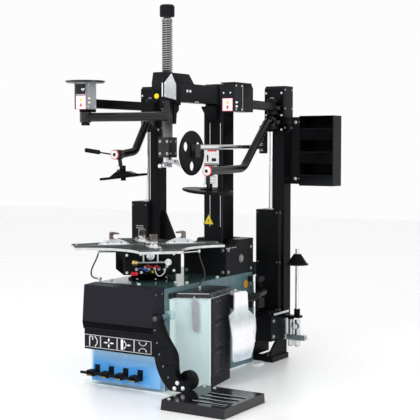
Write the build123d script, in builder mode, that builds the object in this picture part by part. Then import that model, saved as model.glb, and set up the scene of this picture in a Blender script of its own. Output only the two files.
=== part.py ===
"""Tyre changer with a tilt-back column, two pneumatic helper arms, a side bead breaker and a wheel lift.

The origin is on the floor under the turntable's axis. +X is to the operator's right, +Y runs from the
operator to the back of the machine and +Z is up. All sizes are in millimetres.
"""
from build123d import *
from math import cos, pi, radians, sin, tan
import os

os.makedirs("parts", exist_ok=True)

# ---------------------------------------------------------------- driving dimensions
SHEET = 3.0                      # sheet metal of the cabinet and its covers
GAP = 0.5                        # air between two bodies that move past each other

CAB_LEFT, CAB_RIGHT = -160.0, 302.0
CAB_FRONT, CAB_BACK = -290.0, 600.0
FLANGE_T = 8.0                   # floor flange
CAB_TOP = 515.0
ANCHOR_X = (-175.0, 328.0)       # floor anchor holes
ANCHOR_Y = (-258.0, 560.0)
ANCHOR_R = 7.0

COVER_LEFT, COVER_RIGHT = -120.0, 306.0
COVER_FRONT = -400.0
COVER_BOTTOM, COVER_STRIP = 196.0, 300.0

SIDE_CORNER = (464.0, -120.0)    # bead breaker side box, its outer front corner in plan
SIDE_NEAR = (303.0, -196.0)      # where its front meets the cabinet
SIDE_FAR = (426.0, 130.0)        # its outer rear corner
SIDE_TOP = 462.0
PAD_T = 12.0
LEVER_ALONG = 106.0              # tyre lever, along the side box's front

TABLE_TOP, TABLE_T = 700.0, 15.0
TABLE_REACH = 392.0              # axis to the end face of an arm
ARM_END = 212.0                  # width of an arm's end
TABLE_WAIST = 268.0              # axis to the scalloped side between two arms
JAW_RADIUS = 178.0
HOUSING_SIDE = 300.0             # square clamping-cylinder housing under the table
HOUSING_LOW, HOUSING_HIGH = 556.0, 674.0
SHAFT_R = 30.0

COL_X, COL_Y = 156.0, 462.0      # tilt column
COL_SIZE = 122.0
COL_BASE_TOP = 704.0
ARM_LOW, ARM_HIGH = 1442.0, 1540.0
ARM_W = 70.0
TILT_AXIS_Y, TILT_AXIS_Z = COL_Y, 600.0

HEX_Y = -42.0                    # vertical tool shaft in the arm's nose
HEX_AF = 46.0
HOOD_TOP = 1588.0
SPRING_TOP = 1872.0
CAP_TOP = 1932.0
HEX_LOW = 1160.0

RIGHT_COL = (372.0, 790.0)       # right helper tower
RIGHT_ROD = (334.0, 736.0)
RIGHT_ELBOW = (427.0, 148.0)
LEFT_COL = (-233.0, 436.0)       # left helper tower
LEFT_ROD = (-295.0, 420.0)
LEFT_ELBOW = (-230.0, -226.0)
CARRIAGE_LOW, CARRIAGE_HIGH = 1296.0, 1552.0

BREAKER_PIVOT = (345.0, 560.0)
BLADE_X = 500.0
BLADE_Y = (8.0, 282.0)
BLADE_Z = (118.0, 474.0)

PEDAL_PITCH = 89.0
PEDAL_W = 40.0
PEDAL_SLOT = 35.0
LIFT_PIVOT = (324.0, 385.0)      # X and Z of the wheel lift's hinge
LIFT_SHAFT_R = 13.0
PLATFORM_X = (476.0, 818.0)
PLATFORM_Y = (-574.0, -199.0)
PLATFORM_H = 46.0
GRIP_SLOT_Y, GRIP_PITCH = -345.0, 57.6

CONE = (500.0, 745.0)            # centring cone on its spindle


# ---------------------------------------------------------------- shared shapes
def block(x0, x1, y0, y1, z0, z1, mode=Mode.ADD):
    """A rectangular block between two opposite corners."""
    with Locations(((x0 + x1) / 2, (y0 + y1) / 2, (z0 + z1) / 2)):
        Box(x1 - x0, y1 - y0, z1 - z0, mode=mode)


def bar(start, end, radius, mode=Mode.ADD):
    """A round bar, or a round hole, between two points."""
    run = Vector(*end) - Vector(*start)
    with Locations(Plane(origin=start, z_dir=run)):
        Cylinder(radius, run.length, align=(Align.CENTER, Align.CENTER, Align.MIN), mode=mode)


def prism(plane, points, depth, mode=Mode.ADD):
    """A polygon drawn on a plane and extruded along the plane's normal."""
    with BuildSketch(plane) as outline:
        Polygon(*points, align=None)
    extrude(outline.sketch, depth, mode=mode)


def tube(points, bends, radius, bore=0.0):
    """A round tube along straight runs joined by tangent arcs."""
    with BuildLine() as path:
        FilletPolyline(*points, radius=bends)
    start = Plane(origin=path.line @ 0, z_dir=path.line % 0)
    with BuildSketch(start) as section:
        Circle(radius)
        if bore:
            Circle(bore, mode=Mode.SUBTRACT)
    sweep(section.sketch, path=path.line)


def save(piece, name):
    """Label a finished piece and write it to its own file."""
    piece.label = name
    export_step(piece, f"parts/{name}.step")


def side_plane(x):
    """A plane facing +X: its first axis is +Y and its second is +Z."""
    return Plane(origin=(x, 0, 0), x_dir=(0, 1, 0), z_dir=(1, 0, 0))


def front_plane(y):
    """A plane facing -Y: its first axis is +X and its second is +Z."""
    return Plane(origin=(0, y, 0), x_dir=(1, 0, 0), z_dir=(0, -1, 0))


# ---------------------------------------------------------------- base and cabinet
with BuildPart() as base_flange:
    block(CAB_LEFT, CAB_RIGHT, -325, 620, 0, FLANGE_T)
    block(-205, 375, -325, -215, 0, FLANGE_T)
    block(-205, 375, 510, 620, 0, FLANGE_T)
    outer = base_flange.edges().filter_by(Axis.Z).group_by(Axis.X)
    fillet(outer[0] + outer[-1], 38)
    with Locations([(x, y, FLANGE_T) for x in ANCHOR_X for y in ANCHOR_Y]):
        Hole(ANCHOR_R)
save(base_flange.part, "base_flange")

with BuildPart() as cabinet:
    block(CAB_LEFT, CAB_RIGHT, CAB_FRONT, CAB_BACK, FLANGE_T, CAB_TOP)
    fillet(cabinet.edges().filter_by(Axis.Z), 10)
    block(CAB_LEFT + SHEET, CAB_RIGHT - SHEET, CAB_FRONT + SHEET, CAB_BACK - SHEET,
          FLANGE_T + SHEET, CAB_TOP - SHEET, mode=Mode.SUBTRACT)
    bar((0, 0, CAB_TOP - 10), (0, 0, CAB_TOP + 1), 62, mode=Mode.SUBTRACT)
    block(60, 250, 360, 560, CAB_TOP - 10, CAB_TOP + 1, mode=Mode.SUBTRACT)
    block(-110, 290, CAB_FRONT - 1, CAB_FRONT + 10, 40, 180, mode=Mode.SUBTRACT)
save(cabinet.part, "cabinet")

PEDAL_AXLE = (-304.0, 92.0)      # Y and Z of the pedals' common axle
AXLE_R = 6.0
PEDAL_X = [-86 + PEDAL_PITCH * i for i in range(4)]

with BuildPart() as pedal_panel:
    prism(side_plane(-116), [(-291, 26), (-330, 26), (-318, 150), (-318, 190), (-291, 190)], 420)
    prism(side_plane(-116 + SHEET), [(-290, 26 + SHEET), (-326.7, 26 + SHEET), (-315, 150), (-315, 190 - SHEET),
                                     (-290, 190 - SHEET)], 420 - 2 * SHEET, mode=Mode.SUBTRACT)
    with Locations([(x, -320, 80) for x in PEDAL_X]):
        Box(PEDAL_SLOT, 40, 54, mode=Mode.SUBTRACT)
    bar((-114, *PEDAL_AXLE), (302, *PEDAL_AXLE), AXLE_R)
save(pedal_panel.part, "pedal_panel")

with BuildPart() as front_cover:
    prism(side_plane(COVER_LEFT), [(-291, COVER_STRIP), (-392, COVER_STRIP), (COVER_FRONT, COVER_STRIP + 34),
                                   (-384, 520), (-291, 524)], COVER_RIGHT - COVER_LEFT)
    fillet(front_cover.edges().filter_by(Axis.X).group_by(Axis.Y)[0], 6)
    prism(side_plane(COVER_LEFT + SHEET), [(-285, COVER_STRIP + 4), (-388, COVER_STRIP + 4),
                                           (-395, COVER_STRIP + 36), (-380, 516), (-285, 520)],
          COVER_RIGHT - COVER_LEFT - 2 * SHEET, mode=Mode.SUBTRACT)
save(front_cover.part, "front_cover")

with BuildPart() as symbol_strip:
    block(COVER_LEFT, COVER_RIGHT, -384, -291, COVER_BOTTOM, COVER_STRIP - 1)
    block(COVER_LEFT + SHEET, COVER_RIGHT - SHEET, -380, -290, COVER_BOTTOM - 1, COVER_STRIP - 5,
          mode=Mode.SUBTRACT)
    with Locations([(-68.25 + 103.5 * cell, -384, COVER_BOTTOM + 42) for cell in range(4)]):
        Box(101.5, 4, 64)
save(symbol_strip.part, "symbol_strip")

FRONT_RUN = (SIDE_CORNER[0] - SIDE_NEAR[0], SIDE_CORNER[1] - SIDE_NEAR[1])
SIDE_RUN = (SIDE_FAR[0] - SIDE_CORNER[0], SIDE_FAR[1] - SIDE_CORNER[1])
# the side box's front face and its pad face: along the face, up, and out of it
BOX_FRONT = Plane(origin=(*SIDE_NEAR, 0), x_dir=(*FRONT_RUN, 0), z_dir=(FRONT_RUN[1], -FRONT_RUN[0], 0))
PAD_FACE = Plane(origin=(*SIDE_CORNER, 0), x_dir=(*SIDE_RUN, 0), z_dir=(SIDE_RUN[1], -SIDE_RUN[0], 0))

with BuildPart() as side_box:
    with BuildSketch(Plane.XY.offset(FLANGE_T + 0.2)) as footprint:
        Polygon(SIDE_NEAR, SIDE_CORNER, SIDE_FAR, (CAB_RIGHT + 1, SIDE_FAR[1]), align=None)
    extrude(footprint.sketch, SIDE_TOP - FLANGE_T - 0.2)
    fillet(side_box.edges().filter_by(Axis.Z).sort_by(Axis.X)[-2:], 6)
    with BuildSketch(Plane.XY.offset(FLANGE_T + SHEET)) as hollow:
        Polygon(SIDE_NEAR, SIDE_CORNER, SIDE_FAR, (CAB_RIGHT + 1, SIDE_FAR[1]), align=None)
        offset(amount=-SHEET, kind=Kind.INTERSECTION)
    extrude(hollow.sketch, SIDE_TOP - FLANGE_T - 2 * SHEET, mode=Mode.SUBTRACT)
    block(CAB_RIGHT + 1, CAB_RIGHT + 4, SIDE_NEAR[1] - 48, SIDE_NEAR[1] + 4, FLANGE_T + 0.2, SIDE_TOP)
    with BuildSketch(Plane.XY.offset(SIDE_TOP + 0.2)) as lid:
        Polygon((CAB_RIGHT + 1, SIDE_NEAR[1] - 53), (CAB_RIGHT + 10, SIDE_NEAR[1] - 53),
                (CAB_RIGHT + 10, SIDE_NEAR[1] - 2), (SIDE_CORNER[0] + 6, SIDE_CORNER[1] - 6),
                (SIDE_FAR[0] + 6, SIDE_FAR[1] + 5), (CAB_RIGHT + 1, SIDE_FAR[1] + 5), align=None)
    extrude(lid.sketch, 27)
    chamfer(side_box.faces().sort_by(Axis.Z)[-1].edges(), 3)
    with BuildSketch(BOX_FRONT.offset(-1)) as lever_peg:
        with Locations((LEVER_ALONG, 375)):
            Rectangle(16, 30)
    extrude(lever_peg.sketch, 10.5)
save(side_box.part, "side_box")

PAD_LEVELS = [(70, 196), (199, 338), (341, 456)]

with BuildPart() as rubber_pads:
    for low, high in PAD_LEVELS:
        with BuildSketch(PAD_FACE) as pad:
            with Locations((122, (low + high) / 2)):
                Rectangle(228, high - low)
        extrude(pad.sketch, PAD_T)
        with BuildSketch(PAD_FACE.offset(PAD_T)) as ribs:
            with Locations([(108 + rib * 12, (low + high) / 2) for rib in range(9)]):
                Rectangle(6, high - low)
        extrude(ribs.sketch, 4)
save(rubber_pads.part, "rubber_pads")

with BuildPart() as tyre_lever:
    with BuildSketch(BOX_FRONT.offset(10)) as lever_face:
        with BuildLine():
            edge = Polyline(*[(LEVER_ALONG + side, up) for side, up in
                              ((20, 314), (16, 440), (-8, 474), (-20, 440), (-12, 314))])
            ThreePointArc(edge @ 1, (LEVER_ALONG + 4, 297), edge @ 0)
        make_face()
    extrude(lever_face.sketch, 9)
    fillet(max(tyre_lever.faces(), key=lambda face: face.center().X - 2 * face.center().Y).edges(), 3)
save(tyre_lever.part, "tyre_lever")

# ---------------------------------------------------------------- clamping-cylinder housing and drive
with BuildPart(Plane.XY.rotated((0, 0, 45))) as table_housing:
    with Locations((0, 0, (HOUSING_LOW + HOUSING_HIGH) / 2)):
        Box(HOUSING_SIDE, HOUSING_SIDE, HOUSING_HIGH - HOUSING_LOW)
        fillet(table_housing.edges().filter_by(Axis.Z), 6)
        Box(HOUSING_SIDE - 12, HOUSING_SIDE - 12, HOUSING_HIGH - HOUSING_LOW - 12, mode=Mode.SUBTRACT)
    with Locations((0, 0, HOUSING_HIGH)):
        Hole(SHAFT_R + 3)
    with Locations((0, 0, (CAB_TOP + HOUSING_LOW) / 2)):
        Cylinder(88, HOUSING_LOW - CAB_TOP)
        Cylinder(SHAFT_R + 3, HOUSING_LOW - CAB_TOP + 40, mode=Mode.SUBTRACT)
save(table_housing.part, "table_housing")

# The plate face between the -Y and +X corners of the housing carries the valve gear.
FACE = Plane(origin=(HOUSING_SIDE / 2 * cos(radians(-45)), HOUSING_SIDE / 2 * sin(radians(-45)), 615),
             x_dir=(cos(radians(45)), sin(radians(45)), 0), z_dir=(cos(radians(-45)), sin(radians(-45)), 0))


def on_face(along, up, out):
    """A point given from the middle of the housing's plate face."""
    return tuple(FACE.from_local_coords(Vector(along, up, out)))


with BuildPart() as housing_hardware:
    for along, up in ((-135, 44), (-135, -46), (-62, 46), (110, 46), (110, -40), (-60, -46)):
        bar(on_face(along, up, 0.1), on_face(along, up, 7), 7)
    bar(on_face(-108, 6, 24), on_face(88, 6, 24), 6)
    for along in (-52, 22):
        bar(on_face(along, 6, 24), on_face(along, 58, 24), 5)
    for along in (-96, 76):
        bar(on_face(along, 6, 0.1), on_face(along, 6, 30), 9)
    bar(on_face(-14, 40, 0.1), on_face(-14, 40, 16), 22)
    bar((-108, -114, 664), (-170, -203, 668), 5)
    bar((-170, -203, 662.5), (-170, -203, 676), 7)
    bar((-150, -229, 531), (-134, -229, 531), 8)
    bar((-138, -229, CAB_TOP + 0.1), (-138, -229, 531), 6)
    bar((206, 12, 664), (262, 92, 668), 5)
    bar((262, 92, 661.2), (262, 92, 676), 7)
    bar((327, -6, SIDE_TOP + 27.3), (327, -6, 502), 8)
save(housing_hardware.part, "housing_hardware")

with BuildPart() as gearbox:
    block(-85, 85, -70, 70, 330, 500)
    fillet(gearbox.edges().filter_by(Axis.Z), 14)
    bar((0, 0, 500), (0, 0, CAB_TOP - 0.1), 58)
    bar((0, 0, 380), (0, 0, 600), SHAFT_R + 0.05, mode=Mode.SUBTRACT)
    bar((0, 85, 372), (0, 69, 372), 30)
    bar((0, 60, 372), (0, 90, 372), 12.05, mode=Mode.SUBTRACT)
save(gearbox.part, "gearbox")

with BuildPart() as motor:
    bar((0, 310, 130), (0, 120, 130), 70)
    for foot in (-60, 40):
        block(foot, foot + 20, 140, 300, FLANGE_T + SHEET, 80)
    bar((0, 121, 130), (0, 90, 130), 9)
save(motor.part, "motor")

MOTOR_PULLEY_R, WORM_PULLEY_R = 38.0, 76.0
MOTOR_AXIS_Z, WORM_AXIS_Z = 130.0, 372.0


def belt_loop(motor_r, worm_r, mode=Mode.ADD):
    """The outline of a belt drawn round both pulleys."""
    with Locations((0, MOTOR_AXIS_Z)):
        Circle(motor_r)
    with Locations((0, WORM_AXIS_Z)):
        Circle(worm_r)
    make_hull()


BELT_T, BELT_AIR = 5.0, 0.4

with BuildPart() as drive_belt:
    with BuildSketch(front_plane(107)) as belt_outside:
        belt_loop(MOTOR_PULLEY_R + BELT_AIR + BELT_T, WORM_PULLEY_R + BELT_AIR + BELT_T)
    with BuildSketch(front_plane(107)) as belt_inside:
        belt_loop(MOTOR_PULLEY_R + BELT_AIR, WORM_PULLEY_R + BELT_AIR)
    extrude(belt_outside.sketch, 14)
    extrude(belt_inside.sketch, 14, mode=Mode.SUBTRACT)
save(drive_belt.part, "drive_belt")

with BuildPart() as motor_pulley:
    bar((0, 109, MOTOR_AXIS_Z), (0, 91, MOTOR_AXIS_Z), MOTOR_PULLEY_R)
    bar((0, 110, MOTOR_AXIS_Z), (0, 89, MOTOR_AXIS_Z), 9.05, mode=Mode.SUBTRACT)
save(motor_pulley.part, "motor_pulley")

with BuildPart() as worm_pulley:
    bar((0, 109, WORM_AXIS_Z), (0, 91, WORM_AXIS_Z), WORM_PULLEY_R)
    bar((0, 92, WORM_AXIS_Z), (0, 61, WORM_AXIS_Z), 12)
save(worm_pulley.part, "worm_pulley")

# ---------------------------------------------------------------- turntable and jaws
ARM_ANGLES = (-45, 45, 135, 225)


def polar(radius, angle, aside=0.0):
    """A point at a radius along a direction, and a distance aside from it."""
    a = radians(angle)
    return (radius * cos(a) - aside * sin(a), radius * sin(a) + aside * cos(a))


SLOT_IN, SLOT_OUT, SLOT_W = 72.0, 312.0, 16.0

with BuildPart() as turntable:
    with BuildSketch(Plane.XY.offset(TABLE_TOP - TABLE_T)):
        with BuildLine():
            for angle in ARM_ANGLES:
                Line(polar(TABLE_REACH, angle, -ARM_END / 2), polar(TABLE_REACH, angle, ARM_END / 2))
                ThreePointArc(polar(TABLE_REACH, angle, ARM_END / 2), polar(TABLE_WAIST, angle + 45),
                              polar(TABLE_REACH, angle + 90, -ARM_END / 2))
        make_face()
        for angle in ARM_ANGLES:
            with Locations(Location((*polar((SLOT_IN + SLOT_OUT) / 2, angle), 0), (0, 0, angle))):
                SlotOverall(SLOT_OUT - SLOT_IN, SLOT_W, mode=Mode.SUBTRACT)
    extrude(amount=TABLE_T)
    chamfer(turntable.faces().sort_by(Axis.Z)[-1].outer_wire().edges(), 3)
    bar((0, 0, 395), (0, 0, TABLE_TOP - TABLE_T), SHAFT_R)
    bar((0, 0, HOUSING_HIGH + 2), (0, 0, TABLE_TOP - TABLE_T), 54)
save(turntable.part, "turntable")

JAW_LEN, JAW_T, JAW_RISE = 165.0, 14.0, 30.0
JAW_SEAT = TABLE_TOP + GAP

for number, angle in enumerate(ARM_ANGLES, start=1):
    arm = Plane(origin=(0, 0, 0), x_dir=(*polar(1, angle), 0), z_dir=(*polar(1, angle - 90), 0))
    with BuildPart() as jaw:
        with BuildSketch(arm.offset(-JAW_T / 2)) as arch:
            with BuildLine():
                rise = ThreePointArc((JAW_RADIUS - JAW_LEN / 2, JAW_SEAT + 3),
                                     (JAW_RADIUS, JAW_SEAT + JAW_RISE),
                                     (JAW_RADIUS + JAW_LEN / 2, JAW_SEAT + 3))
                Polyline(rise @ 1, (JAW_RADIUS + JAW_LEN / 2, JAW_SEAT), (JAW_RADIUS - JAW_LEN / 2, JAW_SEAT),
                         rise @ 0)
            make_face()
        extrude(arch.sketch, JAW_T)
        key_base = TABLE_TOP - TABLE_T - GAP
        prism(arm.offset(-SLOT_W / 2 + GAP), [(JAW_RADIUS - 25, key_base - 7), (JAW_RADIUS + 25, key_base - 7),
                                              (JAW_RADIUS + 25, JAW_SEAT + 4), (JAW_RADIUS - 25, JAW_SEAT + 4)],
              SLOT_W - 2 * GAP)
        prism(arm.offset(-20), [(JAW_RADIUS - 25, key_base - 7), (JAW_RADIUS + 25, key_base - 7),
                                (JAW_RADIUS + 25, key_base), (JAW_RADIUS - 25, key_base)], 40)
        hook = JAW_SEAT + JAW_RISE
        prism(arm.offset(-17), [(JAW_RADIUS - 4, hook - 8), (JAW_RADIUS + 24, hook - 8),
                                (JAW_RADIUS + 24, hook + 33),
                                (JAW_RADIUS + 12, hook + 37), (JAW_RADIUS - 26, hook + 31),
                                (JAW_RADIUS - 24, hook + 24), (JAW_RADIUS + 2, hook + 25),
                                (JAW_RADIUS + 8, hook + 14)], 34)
        save(jaw.part, f"jaw_{number}")

# ---------------------------------------------------------------- tilt column and horizontal arm
COL_FRONT, COL_REAR = COL_Y - COL_SIZE / 2, COL_Y + COL_SIZE / 2
COL_L, COL_R = COL_X - COL_SIZE / 2, COL_X + COL_SIZE / 2

BASE_X, BASE_Y = (26.0, 297.0), (306.0, 600.0)
STEP_Y, STEP_Z = 424.0, 676.0    # the base's top steps down under the turntable's sweep

with BuildPart() as column_base:
    prism(side_plane(BASE_X[0]), [(BASE_Y[0], CAB_TOP + 0.1), (BASE_Y[0], STEP_Z), (STEP_Y, STEP_Z),
                                  (STEP_Y + 24, COL_BASE_TOP), (BASE_Y[1], COL_BASE_TOP),
                                  (BASE_Y[1], CAB_TOP + 0.1)], BASE_X[1] - BASE_X[0])
    block(BASE_X[0] + 6, BASE_X[1] - 6, BASE_Y[0] + 6, BASE_Y[1] - 6, CAB_TOP + 6, STEP_Z - 6,
          mode=Mode.SUBTRACT)
    block(COL_L - 6, COL_R + 6, COL_FRONT - 6, BASE_Y[1] - 6, STEP_Z - 7, COL_BASE_TOP + 1, mode=Mode.SUBTRACT)
    bar((BASE_X[0], TILT_AXIS_Y, TILT_AXIS_Z), (COL_L - 3, TILT_AXIS_Y, TILT_AXIS_Z), 26)
    bar((COL_R + 3, TILT_AXIS_Y, TILT_AXIS_Z), (BASE_X[1], TILT_AXIS_Y, TILT_AXIS_Z), 26)
    bar((20, TILT_AXIS_Y, TILT_AXIS_Z), (303, TILT_AXIS_Y, TILT_AXIS_Z), 16.05, mode=Mode.SUBTRACT)
save(column_base.part, "column_base")

HEAD_LOW, HEAD_HIGH = ARM_LOW - 12, ARM_HIGH + 12

with BuildPart() as tilt_column:
    block(COL_L, COL_R, COL_FRONT, COL_REAR, 562, HEAD_LOW)
    fillet(tilt_column.edges().filter_by(Axis.Z), 7)
    block(COL_L + 7, COL_R - 7, COL_FRONT + 7, COL_REAR - 7, 555, HEAD_LOW - 10, mode=Mode.SUBTRACT)
    block(COL_X - 47, COL_X + 47, COL_FRONT - 4, COL_REAR + 24, HEAD_LOW, HEAD_HIGH)
    block(COL_X - ARM_W / 2 - GAP, COL_X + ARM_W / 2 + GAP, COL_FRONT - 10, COL_REAR + 30,
          ARM_LOW - GAP, ARM_HIGH + GAP, mode=Mode.SUBTRACT)
    prism(side_plane(COL_X - 30), [(COL_FRONT + 2, 1345), (COL_FRONT + 2, HEAD_LOW), (COL_FRONT - 72, HEAD_LOW),
                                   (COL_FRONT - 72, HEAD_LOW - 8)], 60)
    bar((COL_L + 1, TILT_AXIS_Y, TILT_AXIS_Z), (COL_R - 1, TILT_AXIS_Y, TILT_AXIS_Z), 26)
    bar((24, TILT_AXIS_Y, TILT_AXIS_Z), (299, TILT_AXIS_Y, TILT_AXIS_Z), 16)
save(tilt_column.part, "tilt_column")

ARM_L, ARM_R = COL_X - ARM_W / 2, COL_X + ARM_W / 2
ARM_TAIL = COL_REAR + 50
NOSE = -131.0                    # front of the hood

with BuildPart() as horizontal_arm:
    block(ARM_L, ARM_R, 30, ARM_TAIL, ARM_LOW, ARM_HIGH)
    fillet(horizontal_arm.edges().filter_by(Axis.Y), 5)
    block(ARM_L + 5, ARM_R - 5, 29, ARM_TAIL - 5, ARM_LOW + 5, ARM_HIGH - 5, mode=Mode.SUBTRACT)
save(horizontal_arm.part, "horizontal_arm")


def hexagon(across, mode=Mode.ADD):
    """A hexagon by its distance across flats, with a flat facing the operator."""
    RegularPolygon(across / 2, 6, major_radius=False, rotation=30, mode=mode)


with BuildPart() as arm_hood:
    prism(side_plane(ARM_L), [(NOSE, 1450), (NOSE, 1535), (NOSE + 13, HOOD_TOP), (108, HOOD_TOP),
                              (156, ARM_HIGH + 0.2), (29.8, ARM_HIGH + 0.2), (29.8, 1425), (-70, 1450)], ARM_W)
    prism(side_plane(ARM_L + 10), [(HEX_Y + 24, 1450), (29, 1450), (28, 1400), (8, 1382), (2, 1328),
                                   (HEX_Y + 30, 1328)], ARM_W - 20)
    with BuildSketch(Plane((COL_X, HEX_Y, 1300))) as shaft_hole:
        hexagon(HEX_AF + 0.8)
    extrude(shaft_hole.sketch, 400, mode=Mode.SUBTRACT)
    bar((COL_X, NOSE - 1, 1466), (COL_X, NOSE + 50, 1466), 14.4, mode=Mode.SUBTRACT)
    prism(side_plane(ARM_R), [(-125, 1462), (-125, 1534), (-62, 1584), (-20, 1530), (-20, 1451)], 3)
save(arm_hood.part, "arm_hood")

with BuildPart() as lock_button:
    bar((COL_X, NOSE - 12, 1466), (COL_X, NOSE + 36, 1466), 13.6)
    fillet(lock_button.edges().group_by(Axis.Y)[0], 5)
save(lock_button.part, "lock_button")

with BuildPart() as hex_shaft:
    with BuildSketch(Plane((COL_X, HEX_Y, HEX_LOW))) as shaft_section:
        hexagon(HEX_AF)
    extrude(shaft_section.sketch, HOOD_TOP - 2 - HEX_LOW)
    bar((COL_X, HEX_Y, HOOD_TOP - 3), (COL_X, HEX_Y, CAP_TOP - 20), 19)
    block(COL_X - 33, COL_X + 33, HEX_Y - 36, HEX_Y + 38, HEX_LOW - 4, HEX_LOW + 100)
save(hex_shaft.part, "hex_shaft")

with BuildPart() as shaft_cap:
    bar((COL_X, HEX_Y, SPRING_TOP + 0.2), (COL_X, HEX_Y, CAP_TOP), 37)
    chamfer(shaft_cap.edges().group_by(Axis.Z)[-1], 6)
    bar((COL_X, HEX_Y, SPRING_TOP - 1), (COL_X, HEX_Y, CAP_TOP - 19.8), 19.1, mode=Mode.SUBTRACT)
save(shaft_cap.part, "shaft_cap")

with BuildPart() as return_spring:
    bar((COL_X, HEX_Y, HOOD_TOP + 0.3), (COL_X, HEX_Y, SPRING_TOP), 28)
    bar((COL_X, HEX_Y, HOOD_TOP), (COL_X, HEX_Y, SPRING_TOP + 1), 20, mode=Mode.SUBTRACT)
save(return_spring.part, "return_spring")

HEAD_Z = HEX_LOW - 4             # top of the mount head

HOOK_X, HOOK_Z = COL_X + 46, HEAD_Z - 20

with BuildPart() as mount_head:
    bar((COL_X, HEX_Y, HEAD_Z - 24), (COL_X, HEX_Y, HEAD_Z - 0.1), 22)
    prism(side_plane(COL_X - 17), [(HEX_Y - 34, HEAD_Z - 42), (HEX_Y - 14, HEAD_Z - 46),
                                   (HEX_Y + 30, HEAD_Z - 30), (HEX_Y + 34, HEAD_Z - 12),
                                   (HEX_Y + 10, HEAD_Z - 8), (HEX_Y - 20, HEAD_Z - 22)], 34)
    prism(front_plane(HEX_Y + 14), [(COL_X - 42, HEAD_Z - 52), (COL_X - 40, HEAD_Z - 44),
                                    (COL_X - 12, HEAD_Z - 26), (COL_X + 14, HEAD_Z - 26),
                                    (COL_X + 20, HEAD_Z - 50)], 28)
    for y in (HEX_Y - 20, HEX_Y + 8):
        block(COL_X + 8, HOOK_X + 8, y, y + 12, HOOK_Z - 8, HOOK_Z + 8)
    bar((HOOK_X, HEX_Y - 19, HOOK_Z), (HOOK_X, HEX_Y + 19, HOOK_Z), 4)
save(mount_head.part, "mount_head")

with BuildPart() as demount_hook:
    prism(front_plane(HEX_Y + 7), [(HOOK_X - 10, HOOK_Z - 8), (HOOK_X - 8, HOOK_Z + 12),
                                   (HOOK_X + 8, HOOK_Z + 12),
                                   (HOOK_X + 22, HOOK_Z - 6), (HOOK_X + 60, HOOK_Z - 20),
                                   (HOOK_X + 58, HOOK_Z - 30), (HOOK_X + 14, HOOK_Z - 20)], 14)
    bar((HOOK_X + 44, HEX_Y - 14, HOOK_Z - 24), (HOOK_X + 44, HEX_Y + 14, HOOK_Z - 24), 10)
    bar((HOOK_X, HEX_Y - 20, HOOK_Z), (HOOK_X, HEX_Y + 20, HOOK_Z), 4.06,
        mode=Mode.SUBTRACT)
save(demount_hook.part, "demount_hook")

# ---------------------------------------------------------------- helper towers
ROD_R = 12.5
RAIL = 33.0                      # half the side of a guide column
CYLINDER_R = 24.0                # lift cylinder inside a tower's cover
COVER_T = 4.0


def guide_column(centre, half, low):
    """A hollow square guide column standing up to the top of its carriage."""
    x, y = centre
    block(x - half, x + half, y - half, y + half, low, CARRIAGE_HIGH - 8)
    block(x - half + 7, x + half - 7, y - half + 7, y + half - 7, low + 10, CARRIAGE_HIGH, mode=Mode.SUBTRACT)


BOX_X, BOX_Y, BOX_Z = (480.0, 691.0), (800.0, 905.0), (992.0, 1385.0)     # tool box


with BuildPart() as left_tower:
    block(-378, -268, 376, 470, 40, 900)
    block(-378 + COVER_T, -268 - COVER_T, 376 + COVER_T, 471, 60, 900 - COVER_T, mode=Mode.SUBTRACT)
    bar((*LEFT_ROD, 58), (*LEFT_ROD, 898), CYLINDER_R)
    guide_column(LEFT_COL, RAIL, 40)
    block(-392, -190, 366, 482, 0, 40)
    bar((*LEFT_ROD, 360), (*LEFT_ROD, 901), ROD_R + 0.05, mode=Mode.SUBTRACT)
    prism(front_plane(450), [(-200, 850), (-192, 850), (-122, 700), (-122, CAB_TOP + 0.1),
                             (-200, CAB_TOP + 0.1)], 14)
    for low in (70, 380):
        block(-200, CAB_LEFT - 0.1, 412, 460, low, low + 60)
save(left_tower.part, "left_tower")

with BuildPart() as right_tower:
    block(256, 402, 705, 811, 262, 857)
    block(256 + COVER_T, 402 - COVER_T, 705 + COVER_T, 812, 282, 857 - COVER_T, mode=Mode.SUBTRACT)
    bar((*RIGHT_ROD, 280), (*RIGHT_ROD, 855), CYLINDER_R)
    guide_column(RIGHT_COL, 40, 125)
    block(250, 412, CAB_BACK + 0.1, 830, 125, 262)
    bar((*RIGHT_ROD, 330), (*RIGHT_ROD, 858), ROD_R + 0.05, mode=Mode.SUBTRACT)
    block(-392, 402, 640, 704, 0, 30)
    block(300, 402, 700, 830, 0, 30)
    block(-392, -330, 482, 650, 0, 30)
    for x in (262, 380):
        prism(side_plane(x), [(640, 29), (640, 60), (720, 126), (828, 126), (828, 29)], 12)
    block(258, 400, CAB_BACK + 2, 706, 262, 290)
    block(335, 409, 829, 850, 1000, 1380)
    block(335, BOX_X[0] - 0.1, 840, 850, 1000, 1380)
    block(402, 524, 722, 768, 250, 261.9)
    bar((*CONE, 261), (*CONE, 300), 17)
    bar((*CONE, 262), (*CONE, 301), 10.56, mode=Mode.SUBTRACT)
save(right_tower.part, "right_tower")

with BuildPart() as tool_box:
    block(*BOX_X, BOX_Y[0], BOX_Y[1], *BOX_Z)
    bay = (BOX_Z[1] - BOX_Z[0]) / 3
    for row in range(3):
        low = BOX_Z[0] + row * bay
        block(BOX_X[0] + 5, BOX_X[1] - 5, BOX_Y[0] - 1, BOX_Y[1] - 5, low + 62, low + bay - 5,
              mode=Mode.SUBTRACT)
        block(BOX_X[0] + 5, BOX_X[1] - 5, BOX_Y[0] + 5, BOX_Y[1] - 5, low + 5, low + 63, mode=Mode.SUBTRACT)
save(tool_box.part, "tool_box")

RIGHT_PIN = (364.0, 692.0)       # vertical pin of the right helper arms
LEFT_PIN = (-228.0, 356.0)
PIN_R = 12.0
LINK_Z = (1410.0, 1460.0)
PRESS_Z = 1352.0                 # height of the press arms' eyes
DISC_ARM_Z = 1210.0


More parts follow.
